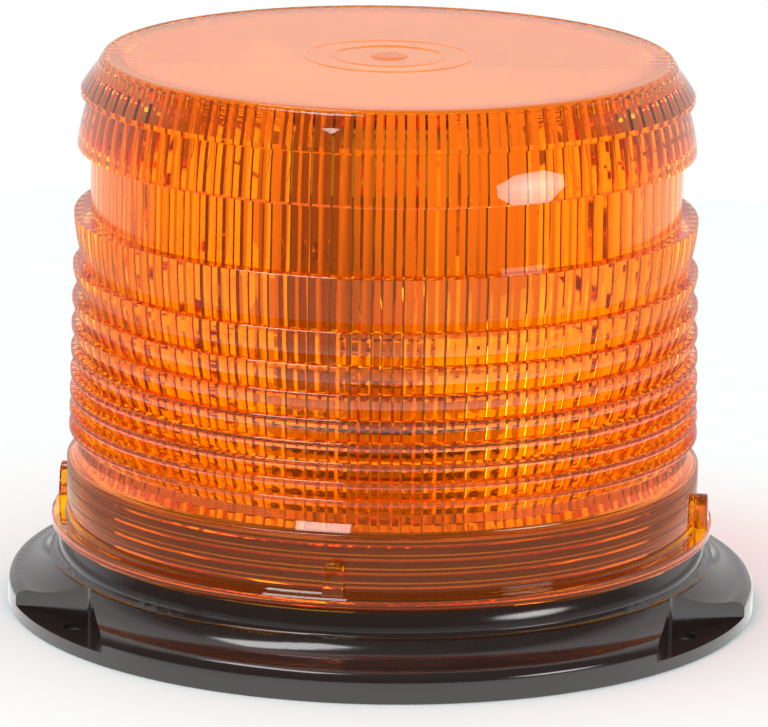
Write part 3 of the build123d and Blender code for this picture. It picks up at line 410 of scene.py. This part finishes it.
def gate_marks():
    """The sunk disc from its edge to the middle, with two low ridges and the nub of the gate."""
    disc, ridge, well = LENS_TOP - DISC_SUNK, LENS_TOP - RIDGE_SUNK, LENS_TOP - WELL_SUNK
    between = LENS_TOP - 0.2
    return [(DISC_R, disc), (21.0, disc), (20.7, ridge), (20.3, ridge), (20.0, between),
            (14.2, between), (13.9, ridge), (13.5, ridge), (13.2, well),
            (NUB_R + 0.5, well), (NUB_R, LENS_TOP), (0, LENS_TOP)]


def thread_ridges(low, high, pitch):
    """The inner side of the skirt from low to high, with a ridge for each turn of the thread."""
    points = []
    level = high - 1.6 - pitch * int((high - 1.6 - low) / pitch) + 0.1
    while level < high - 1.0:
        points += [(SKIRT_BORE_R, level - 1.7), (SKIRT_BORE_R - RIDGE_H, level - 1.2),
                   (SKIRT_BORE_R - RIDGE_H, level - 0.5), (SKIRT_BORE_R, level)]
        level += pitch
    return points


def lens_inside():
    """The inner wall from the flange up to the middle of the ceiling."""
    ceiling = LENS_TOP - TOP_EDGE_T
    skirt_ceiling = SKIRT_TOP + 0.2
    points = [(SKIRT_BORE_R + 0.4, LENS_LOW), (SKIRT_BORE_R, LENS_LOW + 0.4)]
    points += thread_ridges(LENS_LOW + 2.0, skirt_ceiling, THREAD_PITCH)
    points.append((SKIRT_BORE_R, skirt_ceiling))
    for i in range(INNER_ROWS):
        z = skirt_ceiling + (ceiling - skirt_ceiling) * i / (INNER_ROWS - 1)
        points.append((bore_r(z), z))
    points += [(BORE_TOP_R - 1.5, ceiling - 0.1), (BORE_TOP_R - 9.0, LENS_TOP - TOP_T), (0, LENS_TOP - TOP_T)]
    return points


def bore_r(z):
    ceiling = LENS_TOP - TOP_EDGE_T
    return BORE_TOP_R + (BORE_LOW_R - BORE_TOP_R) * (ceiling - z) / (ceiling - LENS_LOW)


outside = lens_outside()
inside = lens_inside()
print("points outside:", len(outside), "inside:", len(inside))

# %% [markdown]
# ## Spin the lens
# A spin of the whole turn, with a rib cut into each of its 90 parts, would mean 90 cuts. One part alone is
# spun instead, in seven columns. Moving the columns of its inner wall inwards makes the rib, and copies
# of that one part then fill the turn, two, three, three and five at a time.


# %% Spin the lens
def spin_sector(bm, points, angle, steps):
    """Spins a half section given in millimetres round the upright axis, over part of a turn."""
    ring = [bm.verts.new((r * MM, 0, z * MM)) for r, z in points]
    edges = [bm.edges.new(pair) for pair in zip(ring, ring[1:])]
    bmesh.ops.spin(bm, geom=ring + edges, cent=(0, 0, 0), axis=(0, 0, 1), angle=angle, steps=steps)


def copy_round(bm, angle, factors):
    """Fills the turn with copies of a sector; each factor multiplies what is there so far."""
    for factor in factors:
        sector = bm.verts[:] + bm.edges[:] + bm.faces[:]
        for i in range(1, factor):
            made = bmesh.ops.duplicate(bm, geom=sector)["geom"]
            corners = [v for v in made if isinstance(v, bmesh.types.BMVert)]
            bmesh.ops.rotate(bm, verts=corners, matrix=Matrix.Rotation(i * angle, 3, "Z"))
        angle *= factor
    bmesh.ops.remove_doubles(bm, verts=bm.verts, dist=1e-7)
    bmesh.ops.recalc_face_normals(bm, faces=bm.faces)


def flute_rise(column):
    """How far a column of the inner wall stands inwards: a flat land, then a round rib."""
    half = (COLUMNS_PER_FLUTE - LAND_COLUMNS) / 2
    across = (column - LAND_COLUMNS - half) / half
    return FLUTE_DEPTH * sqrt(max(0.0, 1.0 - across * across))


def make_lens():
    bm = bmesh.new()
    pitch = 2 * pi / FLUTES
    spin_sector(bm, outside + inside, pitch, COLUMNS_PER_FLUTE)
    for v in bm.verts:
        r, z = v.co.xy.length / MM, v.co.z / MM
        if z > SKIRT_TOP and r > BORE_TOP_R / 2 and abs(r - bore_r(z)) < 0.01:
            column = round(atan2(v.co.y, v.co.x) / pitch * COLUMNS_PER_FLUTE)
            v.co.xy *= 1.0 - flute_rise(column) / r
    copy_round(bm, pitch, (2, 3, 3, 5))
    return new_object("lens", bm, "lens")


# %% [markdown]
# ## Grip lugs
# Four small lugs stand on the flange, for a grip when the lens is screwed on or off. Each is a block whose
# two upper edges are rounded into an arch. Set into the wall by a millimetre and joined to it by a
# Boolean, they leave no face inside the plastic, where light would be bent twice.


# %% Grip lugs
ARCH_SHARE = 0.49
LUG_EDGE = 0.35
CLOSE = 0.1


def make_lugs():
    """Four arched blocks that stand on the flange, their outer faces leaning in a little."""
    foot = LENS_LOW + FLANGE_T
    depth = LUG_PROUD + LUG_ROOT
    bm = bmesh.new()
    bmesh.ops.create_cube(bm, size=1.0)
    bmesh.ops.scale(bm, vec=(depth, LUG_WIDTH, LUG_H + LUG_ROOT), verts=bm.verts)
    middle = (SKIRT_R - LUG_ROOT + depth / 2, 0, foot + (LUG_H - LUG_ROOT) / 2)
    bmesh.ops.translate(bm, vec=middle, verts=bm.verts)
    upper = [e for e in bm.edges if all(v.co.z > foot + LUG_H - CLOSE for v in e.verts)]
    arch = [e for e in upper if abs(e.verts[0].co.y - e.verts[1].co.y) < CLOSE]
    bmesh.ops.bevel(bm, geom=arch, offset=LUG_WIDTH * ARCH_SHARE, segments=10, profile=0.5, material=-1,
                    affect="EDGES")
    rim = [e for e in bm.edges if all(v.co.x > SKIRT_R + LUG_PROUD - CLOSE for v in e.verts)]
    bmesh.ops.bevel(bm, geom=rim, offset=LUG_EDGE, segments=3, profile=0.5, material=-1, affect="EDGES")
    for v in bm.verts:
        v.co.x -= LUG_LEAN * max(0.0, v.co.z - foot) / LUG_H * (v.co.x > SKIRT_R)
    bmesh.ops.scale(bm, vec=(MM, MM, MM), verts=bm.verts)
    bmesh.ops.rotate(bm, verts=bm.verts, matrix=Matrix.Rotation(radians(FIRST_LUG_AZ), 3, "Z"))
    copy_round(bm, 2 * pi / LUGS, (LUGS,))
    return new_object("lugs", bm)


def joined(piece, other):
    """Makes two closed shapes one body, and drops the second object."""
    modifier = piece.modifiers.new("join", "BOOLEAN")
    modifier.object = other
    modifier.operation = "UNION"
    modifier.solver = "EXACT"
    shown = piece.evaluated_get(bpy.context.evaluated_depsgraph_get())
    mesh = bpy.data.meshes.new_from_object(shown)
    piece.modifiers.clear()
    piece.data = mesh
    bpy.data.objects.remove(other)
    return piece


lens = joined(make_lens(), make_lugs())
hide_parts("lens_dome")
print("lens faces:", len(lens.data.polygons))

# %% [markdown]
# ## Amber plastic
# Clear amber polycarbonate takes the blue and most of the green out of the light that crosses it. The
# Principled shader with full Transmission does that with its base colour. Real plastic also scatters a
# little, most in the top and in the low rings, so a small share of an opaque amber is mixed in, and the
# underside of the top is frosted. Light that should reach the pieces inside would be lost on its way
# through so many slopes, so for shadow and diffuse rays the wall is a pale filter instead. A ray that has
# bounced about in the ribs for too long would turn black, and crosses a deeper amber filter.

# %% Amber material
AMBER = (1.0, 0.385, 0.007, 1.0)
AMBER_TOP = (1.0, 0.50, 0.03, 1.0)
AMBER_HAZE = (1.0, 0.24, 0.015, 1.0)
AMBER_FILTER = (1.0, 0.38, 0.03, 1.0)
PALE_FILTER = (1.0, 0.66, 0.36, 1.0)
WALL_HAZE = 0.02
LOW_HAZE = 0.13
SKIRT_HAZE = 0.05
TOP_HAZE = 0.15
TOP_FROST = 0.30
GATE_HAZE = 0.45
GATE_FROST = 0.3
GATE_COLOR = (0.62, 0.15, 0.02, 1.0)
LOW_RINGS = (SKIRT_TOP + 8.0, SKIRT_TOP + 26.0)
AMBER_IOR = 1.58
MIRRORED_TOO_OFTEN = 2.5
BENT_TOO_OFTEN = 8.5

amber, tree = empty_material("lens_amber")
place = add(tree, "TexCoord").outputs["Object"]
at = add(tree, "SeparateXYZ", {0: place}).outputs
across = calculate(tree, "SQRT", calculate(tree, "ADD", calculate(tree, "POWER", at["X"], 2.0),
                                            calculate(tree, "POWER", at["Y"], 2.0)))
in_top = remap(tree, at["Z"], (LENS_TOP - TOP_T - 0.3) * MM, (LENS_TOP - TOP_T) * MM)
in_top = calculate(tree, "MULTIPLY", in_top, calculate(tree, "LESS_THAN", across, (BORE_TOP_R - 4.0) * MM))
in_gate = calculate(tree, "MULTIPLY", in_top, calculate(tree, "LESS_THAN", across, NUB_R * MM))
in_skirt = remap(tree, at["Z"], SKIRT_TOP * MM, (SKIRT_TOP + 1.0) * MM, 1.0, 0.0)
under_top = calculate(tree, "LESS_THAN", at["Z"], (LENS_TOP - TOP_T + 0.4) * MM)

flow = add(tree, "TexNoise", {"Vector": place, "Scale": 90.0, "Detail": 3.0}).outputs[0]
polish = remap(tree, flow, 0.35, 0.65, 0.01, 0.035)
frosted = calculate(tree, "MULTIPLY", calculate(tree, "MULTIPLY", in_top, under_top), TOP_FROST)
polish = calculate(tree, "ADD", polish, frosted)
polish = calculate(tree, "ADD", polish, calculate(tree, "MULTIPLY", in_gate, GATE_FROST))
tint = blend(tree, in_top, AMBER, AMBER_TOP)
plastic = add(tree, "BsdfPrincipled", {"Base Color": tint, "Roughness": polish, "IOR": AMBER_IOR,
                                       "Transmission Weight": 1.0})

cloud = blend(tree, in_gate, AMBER_HAZE, GATE_COLOR)
haze = add(tree, "BsdfPrincipled", {"Base Color": cloud, "Roughness": polish, "IOR": AMBER_IOR})
low, high = (level * MM for level in LOW_RINGS)
haze_share = remap(tree, at["Z"], low, high, LOW_HAZE, WALL_HAZE)
haze_share = remap(tree, in_skirt, 0.0, 1.0, haze_share, SKIRT_HAZE)
haze_share = calculate(tree, "ADD", haze_share, calculate(tree, "MULTIPLY", in_top, TOP_HAZE))
haze_share = calculate(tree, "ADD", haze_share, calculate(tree, "MULTIPLY", in_gate, GATE_HAZE))
hazy = add(tree, "MixShader", {0: haze_share, 1: plastic.outputs[0], 2: haze.outputs[0]})

rays = add(tree, "LightPath").outputs
plain = calculate(tree, "MAXIMUM", rays["Is Shadow Ray"], rays["Is Diffuse Ray"])
trapped = calculate(tree, "GREATER_THAN", rays["Glossy Depth"], MIRRORED_TOO_OFTEN)
bent = calculate(tree, "GREATER_THAN", rays["Ray Depth"], BENT_TOO_OFTEN)
trapped = calculate(tree, "MAXIMUM", trapped, bent)
filter_shader = add(tree, "BsdfTransparent", {"Color": blend(tree, trapped, PALE_FILTER, AMBER_FILTER)})
plain = calculate(tree, "MAXIMUM", plain, trapped)
mixed = add(tree, "MixShader", {0: plain, 1: hazy.outputs[0], 2: filter_shader.outputs[0]})
add(tree, "OutputMaterial", {"Surface": mixed.outputs[0]})
finish_shading(lens, amber, 25.0)
print("amber ready")

# %% [markdown]
# ## Finishes of the other pieces
# Black plastic, rubber, nylon and plated steel all differ from a flat colour in the same few ways, so they
# share their patterns: the fine grain of a moulding, the rings that a lathe leaves round an axis, and the
# long marks of rolled sheet. Each pattern is a node group, as is the dust that settles on faces that look
# up, so one mend changes all the materials.


# %% Patterns
def start_group(name, inputs):
    """Starts a node group with the given inputs and one output, called Pattern."""
    made = bpy.data.node_groups.new(name, "ShaderNodeTree")
    for label, value in inputs.items():
        made.interface.new_socket(label, in_out="INPUT", socket_type="NodeSocketFloat").default_value = value
    made.interface.new_socket("Pattern", in_out="OUTPUT", socket_type="NodeSocketFloat")
    return made, made.nodes.new("NodeGroupInput").outputs


def end_group(made, value):
    made.links.new(value, made.nodes.new("NodeGroupOutput").inputs["Pattern"])
    return made


def noise_of(tree, vector, scale, detail):
    noise = add(tree, "TexNoise", {"Vector": vector, "Scale": scale, "Detail": detail}).outputs[0]
    return remap(tree, noise, 0.3, 0.7)


def moulded_grain():
    made, given = start_group("moulded_grain", {"Scale": 900.0, "Centre X": 0.0, "Centre Y": 0.0})
    place = add(made, "TexCoord").outputs["Object"]
    fine = noise_of(made, place, given["Scale"], 2.0)
    broad = noise_of(made, place, 25.0, 2.0)
    return end_group(made, remap(made, calculate(made, "ADD", fine, broad), 0.0, 2.0))


def turned_marks():
    made, given = start_group("turned_marks", {"Scale": 3000.0, "Centre X": 0.0, "Centre Y": 0.0})
    at = add(made, "SeparateXYZ", {0: add(made, "TexCoord").outputs["Object"]}).outputs
    x = calculate(made, "SUBTRACT", at["X"], given["Centre X"])
    y = calculate(made, "SUBTRACT", at["Y"], given["Centre Y"])
    out = add(made, "VectorMath", {0: add(made, "CombineXYZ", {0: x, 1: y}).outputs[0]}, operation="LENGTH")
    rings = add(made, "CombineXYZ", {0: out.outputs["Value"], 1: at["Z"]}).outputs[0]
    return end_group(made, noise_of(made, rings, given["Scale"], 2.0))


def rolled_marks():
    made, given = start_group("rolled_marks", {"Scale": 1200.0, "Centre X": 0.0, "Centre Y": 0.0})
    place = add(made, "TexCoord").outputs["Object"]
    stretched = add(made, "VectorMath", {0: place, 1: (0.04, 1.0, 1.0)}, operation="MULTIPLY").outputs[0]
    marks = noise_of(made, stretched, given["Scale"], 3.0)
    clouds = noise_of(made, place, 60.0, 2.0)
    return end_group(made, remap(made, calculate(made, "ADD", marks, clouds), 0.0, 2.0))


def settled_dust():
    made, given = start_group("settled_dust", {"Amount": 0.1, "Scale": 1500.0})
    up = add(made, "SeparateXYZ", {0: add(made, "TexCoord").outputs["Normal"]}).outputs["Z"]
    place = add(made, "TexCoord").outputs["Object"]
    specks = add(made, "TexNoise", {"Vector": place, "Scale": given["Scale"], "Detail": 1.0}).outputs[0]
    specks = remap(made, specks, 0.62, 0.70)
    film = noise_of(made, place, 40.0, 3.0)
    layer = calculate(made, "ADD", specks, calculate(made, "MULTIPLY", film, 0.4))
    layer = calculate(made, "MULTIPLY", layer, remap(made, up, 0.3, 1.0))
    return end_group(made, calculate(made, "MULTIPLY", layer, given["Amount"]))


patterns = {"moulded": moulded_grain(), "turned": turned_marks(), "rolled": rolled_marks()}
dust_group = settled_dust()
print("patterns:", ", ".join(patterns))

# %% [markdown]
# ## One recipe for the finishes
# A finish is a colour that shades into a second one along a pattern. The same pattern varies the roughness
# and stands up as a very low relief. Writing it once as a function keeps each material to two lines. The
# turned marks of the motor run round its own axis, so their centre is moved there.

# %% Finishes
DUST = (0.42, 0.40, 0.37, 1.0)


def use_group(tree, group, values):
    made = tree.nodes.new("ShaderNodeGroup")
    made.node_tree = group
    for label, value in values.items():
        made.inputs[label].default_value = value
    return made.outputs["Pattern"]


def finish(name, color, second, roughness, spread, kind, scale, relief, metallic=0.0, dust=0.0, centre=(0, 0),
           ior=1.5):
    """A surface of two near colours; relief is the height of its marks in millimetres."""
    material, tree = empty_material(name)
    values = {"Scale": scale, "Centre X": centre[0] * MM, "Centre Y": centre[1] * MM}
    pattern = use_group(tree, patterns[kind], values)
    settled = use_group(tree, dust_group, {"Amount": dust})
    shown = blend(tree, settled, blend(tree, pattern, (*color, 1), (*second, 1)), DUST)
    rough = remap(tree, pattern, 0.0, 1.0, roughness - spread, roughness + spread)
    rough = calculate(tree, "ADD", rough, calculate(tree, "MULTIPLY", settled, 0.4))
    bump = add(tree, "Bump", {"Height": pattern, "Distance": relief * MM, "Strength": 0.6})
    metal = calculate(tree, "MULTIPLY", calculate(tree, "SUBTRACT", 1.0, settled), metallic)
    shader = add(tree, "BsdfPrincipled", {"Base Color": shown, "Roughness": rough, "Metallic": metal,
                                          "IOR": ior, "Normal": bump.outputs[0]})
    add(tree, "OutputMaterial", {"Surface": shader.outputs[0]})
    return material


MOTOR_AT = (0.0, 33.6)
finishes = {
    "base_plastic": finish("base_plastic", (0.017, 0.010, 0.0085), (0.013, 0.008, 0.007), 0.13, 0.04,
                           "moulded", 1400.0, 0.004, dust=0.03, ior=1.65),
    "black_rubber": finish("black_rubber", (0.022, 0.021, 0.020), (0.035, 0.034, 0.033), 0.62, 0.10,
                           "moulded", 1800.0, 0.012, dust=0.08),
    "zinc_steel": finish("zinc_steel", (0.74, 0.73, 0.66), (0.62, 0.64, 0.66), 0.30, 0.08,
                         "rolled", 1500.0, 0.002, metallic=1.0, dust=0.04),
    "pillar_steel": finish("pillar_steel", (0.76, 0.75, 0.73), (0.66, 0.66, 0.66), 0.20, 0.05,
                           "turned", 4000.0, 0.002, metallic=1.0, dust=0.02),
    "motor_steel": finish("motor_steel", (0.68, 0.68, 0.68), (0.57, 0.58, 0.60), 0.30, 0.07,
                          "turned", 3000.0, 0.002, metallic=1.0, dust=0.03, centre=MOTOR_AT),
    "black_nylon": finish("black_nylon", (0.020, 0.020, 0.021), (0.032, 0.032, 0.033), 0.42, 0.08,
                          "moulded", 1200.0, 0.006, dust=0.05),
    "white_nylon": finish("white_nylon", (0.80, 0.78, 0.70), (0.72, 0.69, 0.60), 0.42, 0.08,
                          "moulded", 900.0, 0.004, dust=0.04),
    "brass_parts": finish("brass_parts", (0.83, 0.62, 0.28), (0.72, 0.50, 0.20), 0.24, 0.07,
                          "turned", 3500.0, 0.002, metallic=1.0, centre=MOTOR_AT),
    "bronze_bush": finish("bronze_bush", (0.60, 0.40, 0.20), (0.42, 0.27, 0.14), 0.42, 0.10,
                          "moulded", 3000.0, 0.010, metallic=1.0),
    "lamp_metal": finish("lamp_metal", (0.78, 0.77, 0.74), (0.66, 0.65, 0.62), 0.24, 0.07,
                         "turned", 3000.0, 0.002, metallic=1.0),
    "filament_metal": finish("filament_metal", (0.46, 0.46, 0.47), (0.30, 0.30, 0.32), 0.35, 0.08,
                             "turned", 6000.0, 0.001, metallic=1.0),
}
print("finishes:", len(finishes))

# %% [markdown]
# ## Capsule glass
# The lamp's capsule is clear quartz, a little grey and rough at its foot, where it was pinched shut. The
# height above the foot tells the two apart.

# %% Capsule glass
PINCH_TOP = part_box("lamp_glass")[0].z + 6.0 * MM
PINCH_FADE = 4.0 * MM
QUARTZ_IOR = 1.46

quartz, tree = empty_material("lamp_glass")
level = add(tree, "SeparateXYZ", {0: add(tree, "TexCoord").outputs["Object"]}).outputs["Z"]
smoke = remap(tree, level, PINCH_TOP - PINCH_FADE, PINCH_TOP, 1.0, 0.0)
clear = blend(tree, smoke, (0.98, 0.99, 1.0, 1), (0.72, 0.72, 0.73, 1))
cloudy = remap(tree, smoke, 0.0, 1.0, 0.0, 0.12)
glass = add(tree, "BsdfPrincipled", {"Base Color": clear, "Roughness": cloudy, "IOR": QUARTZ_IOR,
                                     "Transmission Weight": 1.0})
add(tree, "OutputMaterial", {"Surface": glass.outputs[0]})
finishes["lamp_glass"] = quartz
print("capsule glass clear above", round(PINCH_TOP / MM, 1), "mm")

# %% [markdown]
# ## Reflector finish
# The reflector is a thin pale moulding whose hollow side is metallised. Both sides are one solid in the
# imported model, so the mirror is told from the bare back by place: on a paraboloid, the distance from the
# focus less the distance along the beam is the same everywhere, and on the back it is larger.

# %% Reflector finish
FOCUS = Vector((0, 0, 106.0)) * MM
BEAM_AZIMUTH = radians(50.0)
MIRROR_LIMIT = 45.2 * MM

bright, tree = empty_material("reflector_bright")
spot = add(tree, "TexCoord").outputs["Object"]
place = add(tree, "VectorMath", {0: spot, 1: FOCUS}, operation="SUBTRACT").outputs[0]
away = add(tree, "VectorMath", {0: place}, operation="LENGTH").outputs["Value"]
beam = (cos(BEAM_AZIMUTH), sin(BEAM_AZIMUTH), 0)
along = add(tree, "VectorMath", {0: place, 1: beam}, operation="DOT_PRODUCT").outputs["Value"]
back = calculate(tree, "GREATER_THAN", calculate(tree, "SUBTRACT", away, along), MIRROR_LIMIT)
ripple = noise_of(tree, spot, 120.0, 2.0)
film = blend(tree, ripple, (0.93, 0.93, 0.92, 1), (0.88, 0.89, 0.90, 1))
mirror = add(tree, "BsdfPrincipled", {"Base Color": film, "Metallic": 1.0,
                                      "Roughness": remap(tree, ripple, 0.0, 1.0, 0.03, 0.08)})
bare = blend(tree, ripple, (0.93, 0.92, 0.88, 1), (0.87, 0.86, 0.82, 1))
satin = remap(tree, ripple, 0.0, 1.0, 0.3, 0.42)
moulded = add(tree, "BsdfPrincipled", {"Base Color": bare, "Roughness": satin})
both = add(tree, "MixShader", {0: back, 1: mirror.outputs[0], 2: moulded.outputs[0]})
add(tree, "OutputMaterial", {"Surface": both.outputs[0]})
finishes["reflector_bright"] = bright
print("reflector faces", round(BEAM_AZIMUTH / radians(1.0)), "degrees")

# %% [markdown]
# ## Softened edges
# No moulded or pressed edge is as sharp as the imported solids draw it, and the light on a black moulding
# mostly shows on its edges. Each solid's mesh is copied, its loose triangles are merged into whole faces,
# and a Bevel modifier rounds every real edge by a tenth or a few tenths of a millimetre. The capsule's
# glass keeps its own mesh, because it has no edges to soften.

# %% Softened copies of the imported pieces
EDGE_ANGLE = 35.0
EDGE_ROUND = {"base_plastic": 0.35, "black_rubber": 0.25, "white_nylon": 0.15, "black_nylon": 0.20,
              "zinc_steel": 0.12, "motor_steel": 0.20, "pillar_steel": 0.12, "brass_parts": 0.10,
              "bronze_bush": 0.10, "lamp_metal": 0.12, "reflector_bright": 0.12}


def softened(name, slot):
    """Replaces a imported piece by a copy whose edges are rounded."""
    node = frame["nodes"][name]
    bm = bmesh.new()
    bm.from_mesh(node.data)
    bmesh.ops.remove_doubles(bm, verts=bm.verts, dist=1e-7)
    bmesh.ops.dissolve_limit(bm, angle_limit=radians(0.5), verts=bm.verts, edges=bm.edges)
    piece = new_object(name + "_softened", bm, node["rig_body"])
    rounding = piece.modifiers.new("rounding", "BEVEL")
    rounding.width = EDGE_ROUND[slot] * MM
    rounding.segments = 2
    rounding.limit_method = "ANGLE"
    rounding.angle_limit = radians(EDGE_ANGLE)
    piece.modifiers.new("even shading", "WEIGHTED_NORMAL").keep_sharp = True
    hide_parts(name)
    return finish_shading(piece, finishes[slot], 50.0)


for name, node in frame["nodes"].items():
    slot = node.data.materials[0].name.split(".")[0]
    if slot in EDGE_ROUND:
        softened(name, slot)
    elif slot in finishes:
        node.data.materials[0] = finishes[slot]
print("pieces softened")

# %% [markdown]
# ## Helix
# Two shapes are left out of the solids because a screw line is slow to build there: the thread on the
# base's neck, and the lamp's coiled wire. In Blender both are one short outline that is spun round an axis
# while it climbs, so the same helper makes them. Its two ends are closed by a face each.


# %% Helix helper
def climbing_spin(bm, points, turns, pitch, steps_per_turn):
    """Spins an outline of (radius, height) points in millimetres, rising by pitch each turn."""
    ring = [bm.verts.new((r * MM, 0, z * MM)) for r, z in points]
    edges = [bm.edges.new(pair) for pair in zip(ring, ring[1:] + ring[:1])]
    bm.faces.new(ring)
    steps = int(turns * steps_per_turn)
    rise = Vector((0, 0, pitch * MM / steps_per_turn))
    made = bmesh.ops.spin(bm, geom=ring + edges, cent=(0, 0, 0), axis=(0, 0, 1), dvec=rise,
                          angle=2 * pi * turns, steps=steps)["geom_last"]
    end = [v for v in made if isinstance(v, bmesh.types.BMVert)]
    bmesh.ops.contextual_create(bm, geom=end)
    bmesh.ops.recalc_face_normals(bm, faces=bm.faces)


print("helix helper ready")

# %% [markdown]
# ## Thread on the neck
# The lens screws down over the neck of the base. The ridge of the thread is low and round, so that it
# comes out of a mould, and its foot lies inside the neck, so no gap shows under it.

# %% Thread on the neck
NECK_R = SKIRT_BORE_R - 1.4
THREAD_TURNS = 2.5
THREAD_START = 22.5
THREAD_RISE = 0.45

bm = bmesh.new()
ridge = [(NECK_R - 0.3, THREAD_START - 0.9), (NECK_R + THREAD_RISE * 0.8, THREAD_START - 0.45),
         (NECK_R + THREAD_RISE, THREAD_START), (NECK_R + THREAD_RISE * 0.8, THREAD_START + 0.45),
         (NECK_R - 0.3, THREAD_START + 0.9)]
climbing_spin(bm, ridge, THREAD_TURNS, THREAD_PITCH, 120)
thread = new_object("neck_thread", bm, "base")
finish_shading(thread, finishes["base_plastic"], 40.0)
print("thread turns:", THREAD_TURNS)

# %% [markdown]
# ## Filament
# The wire of the lamp is a short upright coil at the focus of the reflector, on two thicker legs. The packed
# model has a plain solid in its place, which this coil replaces.

# %% Filament
COIL_R = 0.55
COIL_TURNS = 8
WIRE_R = 0.11
LEG_R = 0.22
LEG_X = 2.5
FILAMENT_H = 5.0
LEG_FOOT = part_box("lamp_filament")[0].z


def rod(bm, start, end, radius):
    """A round wire between two points."""
    way = end - start
    made = bmesh.ops.create_cone(bm, cap_ends=True, segments=10, radius1=radius, radius2=radius,
                                 depth=way.length)
    turned = way.to_track_quat("Z", "Y").to_matrix().to_4x4()
    bmesh.ops.transform(bm, matrix=Matrix.Translation((start + end) / 2) @ turned, verts=made["verts"])


bm = bmesh.new()
low = FOCUS.z / MM - FILAMENT_H / 2
wire = [(COIL_R + WIRE_R * cos(a), low + WIRE_R * sin(a)) for a in (radians(60.0 * i) for i in range(6))]
climbing_spin(bm, wire, COIL_TURNS, FILAMENT_H / COIL_TURNS, 18)
for side, level in ((-1, FOCUS.z - FILAMENT_H / 2 * MM), (1, FOCUS.z + FILAMENT_H / 2 * MM)):
    corner = Vector((side * LEG_X * MM, 0, level))
    rod(bm, Vector((corner.x, 0, LEG_FOOT)), corner, LEG_R * MM)
    rod(bm, corner, Vector((side * COIL_R * MM, 0, level)), LEG_R * MM)
coil = new_object("filament_coil", bm, "base")
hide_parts("lamp_filament")
finish_shading(coil, finishes["filament_metal"], 40.0)
print("filament turns:", COIL_TURNS)
